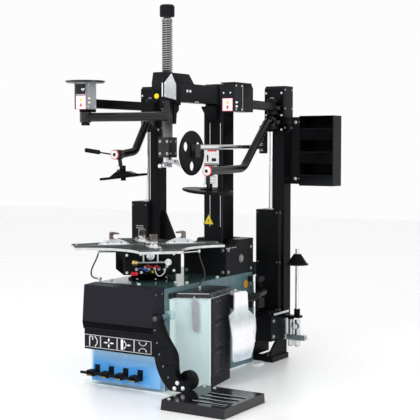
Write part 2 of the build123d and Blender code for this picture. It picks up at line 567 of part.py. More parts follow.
def lug(pin, back, z0, z1):
    """An ear that carries a vertical pin, reaching back to the carriage."""
    x, y = pin
    block(x - 26, x + 26, y, back, z0, z1)
    bar((x, y, z0), (x, y, z1), 26)
    bar((x, y, z0 - 1), (x, y, z1 + 1), PIN_R + 0.06, mode=Mode.SUBTRACT)


with BuildPart() as right_carriage:
    block(300, 420, 722, 836, CARRIAGE_LOW, CARRIAGE_HIGH)
    chamfer(right_carriage.edges().filter_by(Axis.X).group_by(Axis.Z)[-1].sort_by(Axis.Y)[0], 16)
    block(RIGHT_COL[0] - 40.6, RIGHT_COL[0] + 40.6, RIGHT_COL[1] - 40.6, 840,
          CARRIAGE_LOW - 1, CARRIAGE_HIGH + 1, mode=Mode.SUBTRACT)
    for low in (1316, 1396):
        block(345, 400, 712, 760, low, low + 66, mode=Mode.SUBTRACT)
    bar((*RIGHT_ROD, 760), (*RIGHT_ROD, CARRIAGE_LOW + 8), ROD_R)
    lug(RIGHT_PIN, 723, LINK_Z[1] + 1, LINK_Z[1] + 19)
    lug(RIGHT_PIN, 723, LINK_Z[0] - 19, LINK_Z[0] - 1)
    lug(RIGHT_PIN, 723, PRESS_Z - 42, PRESS_Z - 26)
    block(301, 330, 700, 723, CARRIAGE_LOW + 4, CARRIAGE_LOW + 34)
    block(301, 330, 660, 704, DISC_ARM_Z - 36, CARRIAGE_LOW + 34)
    block(308, 323, 655, 700, DISC_ARM_Z - 22, DISC_ARM_Z + 22, mode=Mode.SUBTRACT)
    bar((300, 676, DISC_ARM_Z), (331, 676, DISC_ARM_Z), 8.05, mode=Mode.SUBTRACT)
save(right_carriage.part, "right_carriage")

with BuildPart() as left_carriage:
    block(-322, -188, 392, 482, CARRIAGE_LOW, CARRIAGE_HIGH)
    chamfer(left_carriage.edges().filter_by(Axis.X).group_by(Axis.Z)[-1].sort_by(Axis.Y)[0], 16)
    block(LEFT_COL[0] - RAIL - GAP, LEFT_COL[0] + RAIL + GAP, LEFT_COL[1] - RAIL - GAP, 490,
          CARRIAGE_LOW - 1, CARRIAGE_HIGH + 1, mode=Mode.SUBTRACT)
    bar((*LEFT_ROD, 800), (*LEFT_ROD, CARRIAGE_LOW + 8), ROD_R)
    lug(LEFT_PIN, 393, LINK_Z[1] + 1, LINK_Z[1] + 19)
    lug(LEFT_PIN, 393, LINK_Z[0] - 19, LINK_Z[0] - 1)
    lug(LEFT_PIN, 393, PRESS_Z - 42, PRESS_Z - 26)
save(left_carriage.part, "left_carriage")

# ---------------------------------------------------------------- right helper arms


def eye(pin, z0, z1, below, above):
    """A round eye with its pin, which turns in the carriage's ears."""
    bar((*pin, z0), (*pin, z1), 25)
    bar((*pin, z0 - below), (*pin, z1 + above), PIN_R)


EX, EY = RIGHT_ELBOW

with BuildPart() as right_link:
    eye(RIGHT_PIN, *LINK_Z, 22, 24)
    run = Vector(EX - 4, EY + 160) - Vector(*RIGHT_PIN)
    along = Plane(origin=(*RIGHT_PIN, 1435), x_dir=(0, 0, 1), z_dir=(run.X, run.Y, 0))
    with BuildSketch(along) as beam_section:
        RectangleRounded(46, 46, 6)
    extrude(beam_section.sketch, run.length)
save(right_link.part, "right_link")

with BuildPart() as right_control_box:
    block(EX - 40, EX + 40, EY - 40, EY + 40, 1391, 1532)
    block(EX - 35, EX + 38, EY + 39, EY + 153, 1391, 1534)
    chamfer(right_control_box.edges().filter_by(Axis.X).group_by(Axis.Z)[-1].sort_by(Axis.Y)[-1], 18)
    block(EX - 42, EX + 42, EY - 42, EY + 130, 1534, 1540)
save(right_control_box.part, "right_control_box")

PRESS_END = (400.0, -40.0, 1090.0)
DISC_PIN_Z = 1014.0
TUBE_R = 21.0

with BuildPart() as right_press_arm:
    eye(RIGHT_PIN, PRESS_Z - 25, PRESS_Z + 22, 20, 6)
    tube([(*RIGHT_PIN, PRESS_Z), (368, 628, PRESS_Z), (386, 335, 1096),
          (PRESS_END[0], PRESS_END[1] + 26, 1090)],
         [60, 110], TUBE_R)
    bar((PRESS_END[0], PRESS_END[1] + 28, 1090), (PRESS_END[0], PRESS_END[1] - 8, 1090), 27)
    bar((PRESS_END[0], PRESS_END[1], 1080), (PRESS_END[0], PRESS_END[1], DISC_PIN_Z - 8), 11)
    bar((PRESS_END[0], PRESS_END[1] - 28, DISC_PIN_Z), (PRESS_END[0], PRESS_END[1] + 28, DISC_PIN_Z), 6)
save(right_press_arm.part, "right_press_arm")

DISC_TILT = Plane(origin=(PRESS_END[0], PRESS_END[1], 996), x_dir=(1, 0, -0.09), z_dir=(0.09, 0, 1))

with BuildPart() as right_press_disc:
    with BuildSketch(DISC_TILT) as press_face:
        Circle(130)
    extrude(press_face.sketch, -12)
    chamfer(right_press_disc.edges(), 4)
    with BuildSketch(DISC_TILT.offset(-0.5)) as press_boss:
        Circle(44)
    extrude(press_boss.sketch, 5, taper=35)
    for y in (PRESS_END[1] - 24, PRESS_END[1] + 14):
        block(PRESS_END[0] - 12, PRESS_END[0] + 12, y, y + 10, 992, DISC_PIN_Z + 12)
    bar((PRESS_END[0], PRESS_END[1] - 30, DISC_PIN_Z), (PRESS_END[0], PRESS_END[1] + 30, DISC_PIN_Z), 6.06,
        mode=Mode.SUBTRACT)
save(right_press_disc.part, "right_press_disc")

DISC_X = 315.5
WHEEL_DISC = (291.0, -22.0, 1179.0)

with BuildPart() as disc_arm:
    block(DISC_X - 7, DISC_X + 7, 640, 690, DISC_ARM_Z - 14, DISC_ARM_Z + 14)
    bar((300.5, 676, DISC_ARM_Z), (330.5, 676, DISC_ARM_Z), 8)
    bar((DISC_X, 650, DISC_ARM_Z), (DISC_X, -10, DISC_ARM_Z), 13)
    block(DISC_X - 12, DISC_X + 14, -44, 0, WHEEL_DISC[2] - 22, DISC_ARM_Z + 15)
    bar((DISC_X - 10, WHEEL_DISC[1], WHEEL_DISC[2]), (WHEEL_DISC[0] - 12, WHEEL_DISC[1], WHEEL_DISC[2]), 10)
save(disc_arm.part, "disc_arm")

with BuildPart() as wheel_disc:
    with BuildSketch(side_plane(WHEEL_DISC[0] - 7)):
        with Locations((WHEEL_DISC[1], WHEEL_DISC[2])):
            Circle(114)
            Circle(10.06, mode=Mode.SUBTRACT)
            with PolarLocations(66, 3, start_angle=30):
                Circle(26, mode=Mode.SUBTRACT)
    extrude(amount=14)
    chamfer(wheel_disc.edges().filter_by(GeomType.CIRCLE).sort_by(SortBy.RADIUS)[-2:], 5)
save(wheel_disc.part, "wheel_disc")

# ---------------------------------------------------------------- left helper arms
LX, LY = LEFT_ELBOW
SWING_Z = 1363.0

with BuildPart() as left_link:
    eye(LEFT_PIN, *LINK_Z, 22, 24)
    block(-254, -206, LY + 41.2, LEFT_PIN[1], LINK_Z[0] + 2, LINK_Z[1] - 2)
    block(LX - 22, LX + 22, LY - 22, LY + 60, 1390, 1404)
    block(LX - 22, LX + 22, LY + 41.2, LY + 60, 1390, LINK_Z[0] + 6)
    bar((LX, LY, SWING_Z - 36), (LX, LY, 1404), PIN_R)
    bar((LX, LY, SWING_Z - 42), (LX, LY, SWING_Z - 26.5), 22)
save(left_link.part, "left_link")

with BuildPart() as left_control_box:
    block(LX - 41, LX + 41, LY - 41, LY + 41, 1404.2, 1540)
    fillet(left_control_box.edges().filter_by(Axis.Z), 5)
    bar((LX, LY, 1540), (LX, LY, 1545), 97)
    bar((LX, LY, 1545), (LX, LY, 1550), 103)
save(left_control_box.part, "left_control_box")

with BuildPart() as left_swing_tube:
    bar((LX, LY, SWING_Z - 26), (LX, LY, SWING_Z + 26), 30)
    tube([(LX, LY, SWING_Z), (LX + 40, LY + 6, SWING_Z), (240, -150, SWING_Z)], [300], 23)
    bar((236, -151, SWING_Z - 36), (236, -151, SWING_Z + 40), 9)
    bar((LX, LY, SWING_Z - 60), (LX, LY, SWING_Z + 60), PIN_R + 0.06, mode=Mode.SUBTRACT)
save(left_swing_tube.part, "left_swing_tube")

KNOB = (-253.0, 80.0, 1169.0)
FOOT_PIN = (-239.0, 92.0, 1097.0)

with BuildPart() as left_press_arm:
    eye(LEFT_PIN, PRESS_Z - 25, PRESS_Z + 22, 20, 6)
    tube([(*LEFT_PIN, PRESS_Z), (-229, 318, PRESS_Z), (-238, 216, 1186), (KNOB[0], KNOB[1] + 22, KNOB[2])],
         [30, 45], 22)
    bar((KNOB[0], KNOB[1] + 24, KNOB[2]), (KNOB[0], KNOB[1] - 2, KNOB[2]), 27)
    bar((KNOB[0], KNOB[1], KNOB[2]), (KNOB[0], KNOB[1] - 34, KNOB[2]), 8)
    bar((KNOB[0], KNOB[1] + 12, KNOB[2] - 10), (FOOT_PIN[0], FOOT_PIN[1], FOOT_PIN[2] - 9), 11)
    bar((FOOT_PIN[0], FOOT_PIN[1] - 28, FOOT_PIN[2]), (FOOT_PIN[0], FOOT_PIN[1] + 28, FOOT_PIN[2]), 6)
save(left_press_arm.part, "left_press_arm")

with BuildPart() as left_lever:
    bar((KNOB[0], KNOB[1] - 3, KNOB[2]), (KNOB[0], KNOB[1] - 26, KNOB[2]), 27)
    bar((KNOB[0] - 20, KNOB[1] - 15, KNOB[2]), (KNOB[0] - 118, KNOB[1] - 15, KNOB[2] + 12), 4)
    bar((KNOB[0] - 116, KNOB[1] - 15, KNOB[2] + 12), (KNOB[0] - 210, KNOB[1] - 15, KNOB[2] + 24), 11)
    bar((KNOB[0], KNOB[1], KNOB[2]), (KNOB[0], KNOB[1] - 40, KNOB[2]), 8.06, mode=Mode.SUBTRACT)
save(left_lever.part, "left_lever")

FOOT_X, FOOT_Y, FOOT_Z = -234.0, 92.0, 1050.0

with BuildPart() as left_press_foot:
    prism(front_plane(FOOT_Y + 21), [(FOOT_X - 138, FOOT_Z - 24), (FOOT_X - 138, FOOT_Z - 10),
                                     (FOOT_X - 72, FOOT_Z - 4), (FOOT_X - 24, FOOT_Z + 28),
                                     (FOOT_X + 42, FOOT_Z + 30), (FOOT_X + 92, FOOT_Z + 16),
                                     (FOOT_X + 152, FOOT_Z + 20), (FOOT_X + 152, FOOT_Z + 8)], 42)
    bar((FOOT_X + 8, FOOT_Y, FOOT_Z - 22), (FOOT_X + 8, FOOT_Y, FOOT_Z + 10), 14)
    for y in (FOOT_Y - 24, FOOT_Y + 14):
        block(FOOT_PIN[0] - 12, FOOT_PIN[0] + 12, y, y + 10, FOOT_Z + 20, FOOT_PIN[2] + 12)
    bar((FOOT_PIN[0], FOOT_Y - 30, FOOT_PIN[2]), (FOOT_PIN[0], FOOT_Y + 30, FOOT_PIN[2]), 6.06,
        mode=Mode.SUBTRACT)
save(left_press_foot.part, "left_press_foot")

# ---------------------------------------------------------------- bead breaker
BX, BY = BREAKER_PIVOT
BLADE_HUB = (476.0, 96.0)
ARM_Z = 420.0
HANDLE_Y = 296.0

with BuildPart() as breaker_arm:
    bar((BX, BY, ARM_Z - 45), (BX, BY, ARM_Z + 45), 26)
    bar((BX, BY, ARM_Z - 110), (BX, BY, ARM_Z + 60), 14)
    tube([(BX, BY, ARM_Z), (BX + 78, BY - 60, ARM_Z), (BLADE_HUB[0] - 2, 330, ARM_Z), (*BLADE_HUB, ARM_Z)],
         [70, 200], 20)
    bar((*BLADE_HUB, ARM_Z - 34), (*BLADE_HUB, ARM_Z + 34), 22)
    bar((BLADE_HUB[0], HANDLE_Y, 275), (BLADE_HUB[0], HANDLE_Y, 598), 6)
    bar((BLADE_HUB[0], HANDLE_Y, 540), (BLADE_HUB[0], HANDLE_Y, 606), 9)
    bar((*BLADE_HUB, ARM_Z - 60), (*BLADE_HUB, ARM_Z + 60), 8.06, mode=Mode.SUBTRACT)
save(breaker_arm.part, "breaker_arm")

with BuildPart() as breaker_blade:
    with BuildSketch(Plane.XY.offset(BLADE_Z[0])) as blade_plan:
        with BuildLine():
            belly = ThreePointArc((BLADE_X - 8, BLADE_Y[0]), (BLADE_X + 14, 145), (BLADE_X - 8, BLADE_Y[1]))
            back = ThreePointArc((BLADE_X - 2, BLADE_Y[0]), (BLADE_X + 20, 145), (BLADE_X - 2, BLADE_Y[1]))
            Line(belly @ 0, back @ 0)
            Line(belly @ 1, back @ 1)
        make_face()
    extrude(blade_plan.sketch, 356)
    prism(side_plane(BLADE_X - 40), [(36, 118), (196, 118), (246, 178), (282, 254), (268, 318), (160, 372),
                                     (152, 462), (132, 476), (52, 476), (42, 462), (40, 382), (8, 360),
                                     (28, 240),
                                     (28, 130)], 90, mode=Mode.INTERSECT)
    for low, high in ((ARM_Z - 56, ARM_Z - 36), (ARM_Z + 36, ARM_Z + 56)):
        block(BLADE_HUB[0] - 16, BLADE_X + 12, BLADE_HUB[1] - 16, BLADE_HUB[1] + 16, low, high)
    bar((*BLADE_HUB, ARM_Z - 58), (*BLADE_HUB, ARM_Z + 58), 8)
save(breaker_blade.part, "breaker_blade")

# ---------------------------------------------------------------- pedals
PEDAL_REACH = -392.0

for number, x in enumerate(PEDAL_X, start=1):
    with BuildPart() as pedal:
        block(x - 15, x + 15, -352, -308, 62, 82)
        block(x - 15, x + 15, -316, -294, 62, 104)
        block(x - PEDAL_W / 2, x + PEDAL_W / 2, PEDAL_REACH, -350, 58, 86)
        fillet(pedal.faces().sort_by(Axis.Y)[0].edges(), 5)
        block(x - 62, x - 15, -386, -374, 66, 78)
        bar((x - 20, *PEDAL_AXLE), (x + 20, *PEDAL_AXLE), AXLE_R + 0.06, mode=Mode.SUBTRACT)
        save(pedal.part, f"pedal_{number}")

# ---------------------------------------------------------------- wheel lift
PX, PZ = LIFT_PIVOT

with BuildPart() as lift_arm:
    with BuildSketch(front_plane(-352)) as gooseneck:
        with BuildLine():
            upper = Spline((340, 381), (358, 334), (392, 275), (430, 215), (437, 140), (452, 106), (484, 100))
            lower = Spline((308, 383), (309, 300), (316, 220), (332, 150), (368, 84), (410, PLATFORM_H + 0.2))
            Line(upper @ 0, lower @ 0)
            Polyline(upper @ 1, (506, 84), (506, PLATFORM_H + 0.2), lower @ 1)
        make_face()
        with Locations(LIFT_PIVOT):
            Circle(16.5)
    extrude(gooseneck.sketch, 46)
    bar((PX, -353, PZ), (PX, -252, PZ), LIFT_SHAFT_R)
    bar((478, -353, 94), (478, -318, 94), 44)
save(lift_arm.part, "lift_arm")

with BuildPart() as lift_platform:
    prism(side_plane(PLATFORM_X[0]), [(PLATFORM_Y[0], 0), (PLATFORM_Y[0] + 10, PLATFORM_H),
                                      (PLATFORM_Y[1] - 6, PLATFORM_H), (PLATFORM_Y[1], 0)],
          PLATFORM_X[1] - PLATFORM_X[0])
    block(PLATFORM_X[0] + 5, PLATFORM_X[1] - 5, PLATFORM_Y[0] + 12, PLATFORM_Y[1] - 12, -1, PLATFORM_H - 5,
          mode=Mode.SUBTRACT)
    for row in range(4):
        with Locations((693, GRIP_SLOT_Y - GRIP_PITCH * row, PLATFORM_H)):
            Box(208, 22, 20, mode=Mode.SUBTRACT)
    with Locations([(806, y, PLATFORM_H - 5) for y in (-323, -425, -525)]):
        Hole(4)
save(lift_platform.part, "lift_platform")

with BuildPart() as side_brackets:
    for low, high in ((ARM_Z - 100, ARM_Z - 46), (ARM_Z + 46, ARM_Z + 74)):
        block(CAB_RIGHT + 0.1, BX + 30, BY - 30, BY + 30, low, high)
    bar((BX, BY, ARM_Z - 112), (BX, BY, ARM_Z + 80), 14.06, mode=Mode.SUBTRACT)
    block(CAB_RIGHT + 0.1, PX + 19, -288, -252, PZ - 19, PZ + 19)
    bar((PX, -300, PZ), (PX, -251, PZ), LIFT_SHAFT_R + 0.06, mode=Mode.SUBTRACT)
save(side_brackets.part, "side_brackets")

# ---------------------------------------------------------------- centring cone and its spindle
CONE_X, CONE_Y = CONE

with BuildPart() as centring_cone:
    with Locations((CONE_X, CONE_Y, 580)):
        Cone(61.5, 20, 62)
    bar((CONE_X, CONE_Y, 262), (CONE_X, CONE_Y, 640), 10.5)
save(centring_cone.part, "centring_cone")

INLET_R, INLET_DEPTH = 6.5, 20.0

with BuildPart() as air_unit:
    block(412.1, 426, 742, 792, 120, 240)
    block(425, 546, 750, 784, 120, 150)
    for x in (450, 492):
        bar((x, 767, 149), (x, 767, 236), 17)
        bar((x, 767, 84), (x, 767, 121), 16)
    bar((546 - INLET_DEPTH, 767, 135), (547, 767, 135), INLET_R, mode=Mode.SUBTRACT)
save(air_unit.part, "air_unit")

# ---------------------------------------------------------------- air hoses
HOSE_R = 4.0
LEFT_HOSE = [(-170, -203, 660), (-177, -206, 634), (-194, -213, 600), (-204, -221, 568), (-199, -227, 545),
             (-180, -230, 532), (-152, -229, 531)]
RIGHT_HOSE = [(262, 92, 660), (266, 93, 632), (282, 92, 600), (300, 84, 570), (315, 64, 546), (325, 38, 530),
              (327, 12, 521), (327, -6, 506)]


def turn_radii(points):
    """The largest arc that each corner of a route leaves room for."""
    radii = []
    for before, corner, after in zip(points, points[1:], points[2:]):
        first, second = Vector(*corner) - Vector(*before), Vector(*after) - Vector(*corner)
        half_turn = radians(first.get_angle(second)) / 2
        radii.append(0.45 * min(first.length, second.length) / tan(half_turn))
    return radii


for name, route in (("hose_left", LEFT_HOSE), ("hose_right", RIGHT_HOSE)):
    radii = turn_radii(route)
    with BuildPart() as hose:
        tube(route, radii, HOSE_R)
    with BuildLine() as course:
        FilletPolyline(*route, radius=radii)
    length = course.wire().length
    print(name, "radii", [round(r) for r in radii], "length", round(length),
          "volume ratio", round(hose.part.volume / (pi * HOSE_R ** 2 * length), 4))
    save(hose.part, name)
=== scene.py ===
"""The tyre changer's looks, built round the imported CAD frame. Lengths are in metres."""
import bmesh
import bpy
import math
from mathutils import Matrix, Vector


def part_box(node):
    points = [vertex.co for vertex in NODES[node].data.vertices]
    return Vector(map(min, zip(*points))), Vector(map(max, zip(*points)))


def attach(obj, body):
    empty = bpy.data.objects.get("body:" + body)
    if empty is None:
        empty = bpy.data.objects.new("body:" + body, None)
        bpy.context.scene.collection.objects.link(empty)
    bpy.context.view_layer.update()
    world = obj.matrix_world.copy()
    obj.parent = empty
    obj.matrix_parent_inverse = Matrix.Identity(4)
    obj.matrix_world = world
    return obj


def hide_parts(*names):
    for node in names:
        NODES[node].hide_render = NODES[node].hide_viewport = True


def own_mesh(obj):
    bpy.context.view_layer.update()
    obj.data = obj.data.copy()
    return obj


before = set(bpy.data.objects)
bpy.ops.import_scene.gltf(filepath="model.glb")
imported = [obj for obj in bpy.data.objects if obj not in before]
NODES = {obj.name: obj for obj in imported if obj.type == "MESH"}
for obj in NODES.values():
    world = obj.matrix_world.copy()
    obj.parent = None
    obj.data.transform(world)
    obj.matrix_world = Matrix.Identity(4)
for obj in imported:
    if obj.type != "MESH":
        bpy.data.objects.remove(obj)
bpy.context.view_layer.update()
RIGHT, BACK, UP = Vector((1, 0, 0)), Vector((0, 1, 0)), Vector((0, 0, 1))
LEFT, FRONT, DOWN = -RIGHT, -BACK, -UP


def mm(*values):
    """Millimetres to a point in metres."""
    return Vector([v / 1000 for v in values])


def level(angle):
    """The level direction at an angle about the upright."""
    return Vector((math.cos(angle), math.sin(angle), 0))


def low(node):
    """The least corner of a CAD node's box."""
    return Vector(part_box(node)[0])


def high(node):
    """The greatest corner of a CAD node's box."""
    return Vector(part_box(node)[1])


# ---------------------------------------------------------------- camera, light and floor
CAMERA_AT = Vector((3.2273, -4.5455, 1.21))
CAMERA_TURN, CAMERA_DIP = 32.0, 3.4
LENS = 90.86
SENSOR_WIDTH = 36
WORLD_STRENGTH = 0.98


def set_camera():
    camera = bpy.data.objects.new("camera", bpy.data.cameras.new("camera"))
    camera.data.lens = LENS
    camera.data.sensor_width = SENSOR_WIDTH
    camera.location = CAMERA_AT
    camera.rotation_euler = (math.radians(90 - CAMERA_DIP), 0, math.radians(CAMERA_TURN))
    bpy.context.collection.objects.link(camera)
    bpy.context.scene.camera = camera


def area_light(name, at, target, size, power):
    """A soft rectangular light that faces its target."""
    lamp = bpy.data.objects.new(name, bpy.data.lights.new(name, "AREA"))
    lamp.data.shape = "RECTANGLE"
    lamp.data.size, lamp.data.size_y = size
    lamp.data.energy = power
    lamp.location = at
    lamp.rotation_euler = (Vector(target) - Vector(at)).to_track_quat("-Z", "Y").to_euler()
    bpy.context.collection.objects.link(lamp)


def set_studio():
    world = bpy.data.worlds.new("studio")
    world.use_nodes = True
    fill(world.node_tree, world.node_tree.nodes["Background"], {"Color": (1, 1, 1, 1), "Strength": WORLD_STRENGTH})
    bpy.context.scene.world = world
    bpy.context.scene.view_settings.view_transform = "Standard"
    area_light("key", (0.4, -3.4, 3.4), (0.1, 0, 0.8), (2.2, 1.6), 60)
    area_light("side", (4.2, -0.4, 2.2), (0.2, 0.1, 0.9), (1.6, 2.4), 28)
    area_light("left_fill", (-3.4, -1.6, 2.0), (0, 0, 0.9), (1.4, 2.2), 22)
    bpy.ops.mesh.primitive_plane_add(size=24, location=(0, 0, -0.0005))
    floor = bpy.context.object
    floor.name = "floor"
    floor.data.materials.append(finish("floor_paint", (0.93, 0.935, 0.94), 0.3, mottle=0.01, cloud=1.5))


# ---------------------------------------------------------------- materials
MIX_SOCKETS = {"FLOAT": (2, 3, 0), "RGBA": (6, 7, 2)}    # a Mix node's two inputs and its result, by kind
WORN_FROM, WORN_FULLY = 0.53, 0.62    # pointiness of an edge where its paint starts to go, and where it is gone


def fill(tree, node, inputs):
    """Set a node's inputs: each value is a constant, or another node's output to link from."""
    for key, value in inputs.items():
        if isinstance(value, bpy.types.NodeSocket):
            tree.links.new(value, node.inputs[key])
        else:
            node.inputs[key].default_value = value


def add_node(tree, kind, inputs=None):
    node = tree.nodes.new(f"ShaderNode{kind}")
    fill(tree, node, inputs or {})
    return node


def mixed(tree, kind, factor, first, second):
    """The output of a Mix node between two values or two colours."""
    mix = add_node(tree, "Mix")
    mix.data_type = kind
    into_first, into_second, result = MIX_SOCKETS[kind]
    fill(tree, mix, {0: factor, into_first: first, into_second: second})
    return mix.outputs[result]


def clouded(tree, vector, color, mottle, scale, detail, span, lift=0.0):
    """Cloud noise, and the colour tinted by it: darker below the span and lighter above."""
    clouds = add_node(tree, "TexNoise", {"Vector": vector, "Scale": scale, "Detail": detail}).outputs["Fac"]
    tint = add_node(tree, "ValToRGB", {"Fac": clouds})
    dark, light = tint.color_ramp.elements
    dark.position, light.position = span
    dark.color = (*[c * (1 - mottle) for c in color], 1)
    light.color = (*[min(1, c * (1 + mottle) + lift) for c in color], 1)
    return clouds, tint.outputs["Color"]


def finish(name, color, rough, metal=0.0, mottle=0.05, cloud=9.0, grain=0.0, grain_scale=700.0,
           wear=None, coat=0.0, streak=(1, 1, 1), shine=0.5):
    """A painted, moulded or metal surface: clouded colour, uneven gloss, grain and worn edges."""
    material = bpy.data.materials.new(name)
    material.use_nodes = True
    tree = material.node_tree
    shader = tree.nodes["Principled BSDF"]
    place = add_node(tree, "TexCoord").outputs["Object"]
    stretched = add_node(tree, "Mapping", {"Vector": place, "Scale": streak}).outputs["Vector"]
    span = (0.3, 0.7)
    clouds, base = clouded(tree, stretched, color, mottle, cloud, 6, span, 0.002)
    gloss = add_node(tree, "MapRange", {"Value": clouds, "From Min": span[0], "From Max": span[1],
                                        "To Min": max(0.02, rough - 0.05), "To Max": min(1, rough + 0.07)})
    if wear:
        sharpness = add_node(tree, "NewGeometry").outputs["Pointiness"]
        edge = add_node(tree, "MapRange", {"Value": sharpness, "From Min": WORN_FROM, "From Max": WORN_FULLY})
        base = mixed(tree, "RGBA", edge.outputs["Result"], base, (*wear, 1))
    fill(tree, shader, {"Base Color": base, "Roughness": gloss.outputs["Result"], "Metallic": metal,
                        "Coat Weight": coat, "Coat Roughness": 0.08, "Specular IOR Level": shine})
    if grain:
        fine = add_node(tree, "TexNoise", {"Vector": stretched, "Scale": grain_scale, "Detail": 3})
        bump = add_node(tree, "Bump", {"Height": fine.outputs["Fac"], "Strength": grain, "Distance": 0.0006})
        fill(tree, shader, {"Normal": bump.outputs["Normal"]})
    return material


TEAL = finish("teal_sheet_paint", (0.47, 0.66, 0.67), 0.34, mottle=0.03, cloud=4, grain=0.05, wear=(0.75, 0.86, 0.86))
PALE = finish("pale_flange_paint", (0.55, 0.70, 0.70), 0.38, mottle=0.03, grain=0.08, wear=(0.85, 0.9, 0.9))
BLUE = finish("sky_blue_paint", (0.045, 0.32, 0.78), 0.36, mottle=0.05, cloud=5, grain=0.05, wear=(0.35, 0.65, 0.95))
BLACK = finish("black_powder_coat", (0.0022, 0.0024, 0.003), 0.3, mottle=0.3, grain=0.12, grain_scale=900,
               wear=(0.016, 0.017, 0.019), shine=0.035)
MATT = finish("black_housing_paint", (0.0035, 0.0042, 0.0042), 0.5, mottle=0.35, grain=0.2, grain_scale=700,
              wear=(0.03, 0.032, 0.032), shine=0.0)
GLOSS = finish("black_gloss_paint", (0.002, 0.0023, 0.0028), 0.14, mottle=0.3, grain=0.02, wear=(0.02, 0.02, 0.024),
               shine=0.3)
COVER = finish("moulded_black_cover", (0.0034, 0.0038, 0.0056), 0.4, mottle=0.3, grain=0.25, grain_scale=1100,
               wear=(0.018, 0.018, 0.024), shine=0.04)
TABLE = finish("turntable_black", (0.004, 0.008, 0.0075), 0.3, mottle=0.4, cloud=14, grain=0.03,
               wear=(0.12, 0.13, 0.13), coat=0.06, shine=0.0)
BOLT = finish("dull_zinc", (0.20, 0.205, 0.21), 0.4, metal=0.85, mottle=0.2, cloud=60, grain=0.2,
              wear=(0.5, 0.5, 0.52))
DARK_CHROME = finish("dark_ground_shaft", (0.035, 0.037, 0.04), 0.2, metal=0.9, mottle=0.5, cloud=14,
                     streak=(1.6, 1.6, 0.1), grain=0.05, wear=(0.45, 0.46, 0.48))
STEEL = finish("ground_steel", (0.50, 0.50, 0.52), 0.3, metal=1, mottle=0.15, grain=0.25, streak=(1, 1, 0.05),
               wear=(0.8, 0.8, 0.82))
ZINC = finish("bright_zinc", (0.80, 0.83, 0.86), 0.3, metal=0.65, mottle=0.08, cloud=22, grain=0.1,
              wear=(0.95, 0.95, 0.97))
CHROME = finish("chrome_plate", (0.82, 0.83, 0.85), 0.07, metal=1, mottle=0.02, streak=(1, 1, 0.1))
RUBBER = finish("ribbed_rubber", (0.006, 0.0065, 0.008), 0.55, mottle=0.3, grain=0.5, grain_scale=600,
                wear=(0.03, 0.03, 0.034), shine=0.06)
SILVER = finish("silver_plate", (0.55, 0.58, 0.61), 0.4, metal=0.75, mottle=0.2, cloud=18, grain=0.3, grain_scale=300,
                wear=(0.85, 0.86, 0.88))
GREY = finish("grey_powder_coat", (0.15, 0.16, 0.175), 0.42, mottle=0.12, cloud=7, grain=0.3, wear=(0.5, 0.52, 0.54))
SPRING = finish("spring_steel", (0.10, 0.105, 0.11), 0.33, metal=0.9, mottle=0.2, cloud=40, grain=0.2,
                wear=(0.5, 0.5, 0.52))
CAST = finish("painted_casting", (0.035, 0.037, 0.04), 0.55, mottle=0.2, grain=0.7, grain_scale=350,
              wear=(0.12, 0.12, 0.12))
ALLOY = finish("machined_alloy", (0.62, 0.64, 0.66), 0.28, metal=1, mottle=0.08, grain=0.15)
BRASS = finish("brass_fitting", (0.62, 0.44, 0.16), 0.25, metal=1, mottle=0.12, cloud=30, grain=0.15)
LILAC = finish("lever_sleeve", (0.34, 0.345, 0.38), 0.4, mottle=0.1, cloud=30, grain=0.3, wear=(0.62, 0.6, 0.65))
YELLOW = finish("yellow_button_plastic", (0.82, 0.60, 0.01), 0.25, mottle=0.07, cloud=60, grain=0.1)
RED = finish("red_plastic", (0.72, 0.012, 0.03), 0.3, mottle=0.1, cloud=60, grain=0.1)
PINK = finish("pink_label_border", (0.80, 0.10, 0.28), 0.4, mottle=0.06, cloud=80, grain=0.05)
WHITE = finish("white_label", (0.85, 0.85, 0.84), 0.4, mottle=0.03, cloud=60, grain=0.05)
ORANGE = finish("orange_sticker", (0.78, 0.33, 0.02), 0.4, mottle=0.12, cloud=80, grain=0.05)
NYLON = finish("white_nylon", (0.78, 0.80, 0.80), 0.35, mottle=0.05, cloud=60, grain=0.1)
AIR_BLUE = finish("blue_air_tube", (0.03, 0.12, 0.55), 0.3, mottle=0.08, cloud=60, grain=0.05)
HOSE = finish("hose_rubber", (0.014, 0.014, 0.016), 0.42, mottle=0.2, cloud=50, grain=0.35, grain_scale=900,
              wear=(0.05, 0.05, 0.05))


# ---------------------------------------------------------------- building blocks
def add_object(name, data, body, material):
    """A new piece on a body, with its material."""
    piece = bpy.data.objects.new(name, data)
    bpy.context.collection.objects.link(piece)
    piece.data.materials.append(material)
    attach(piece, body)
    return piece


def finish_mesh(name, bm, smooth=True):
    """The mesh built so far, with its faces turned outwards."""
    bmesh.ops.recalc_face_normals(bm, faces=bm.faces)
    for face in bm.faces:
        face.smooth = smooth
    mesh = bpy.data.meshes.new(name)
    bm.to_mesh(mesh)
    bm.free()
    return mesh


def axes_for(normal, up=None):
    """Right and up across a normal, and the normal itself at unit length."""
    normal = Vector(normal).normalized()
    up = Vector(up) if up else (UP if abs(normal.z) < 0.9 else BACK)
    right = up.cross(normal).normalized()
    return right, normal.cross(right), normal


def circle(radius, count):
    turns = [2 * math.pi * i / count for i in range(count)]
    return [(radius * math.cos(t), radius * math.sin(t)) for t in turns]


def bridge(bm, rings):
    """Faces between each ring of corners and the next; a ring of one corner is a point."""
    for near, far in zip(rings, rings[1:]):
        count = max(len(near), len(far))
        for i in range(count):
            j = (i + 1) % count
            if len(near) == 1:
                bm.faces.new((near[0], far[j], far[i]))
            elif len(far) == 1:
                bm.faces.new((near[i], near[j], far[0]))
            else:
                bm.faces.new((near[i], near[j], far[j], far[i]))


def close_ends(bm, rings):
    bm.faces.new(rings[-1])
    bm.faces.new(list(reversed(rings[0])))


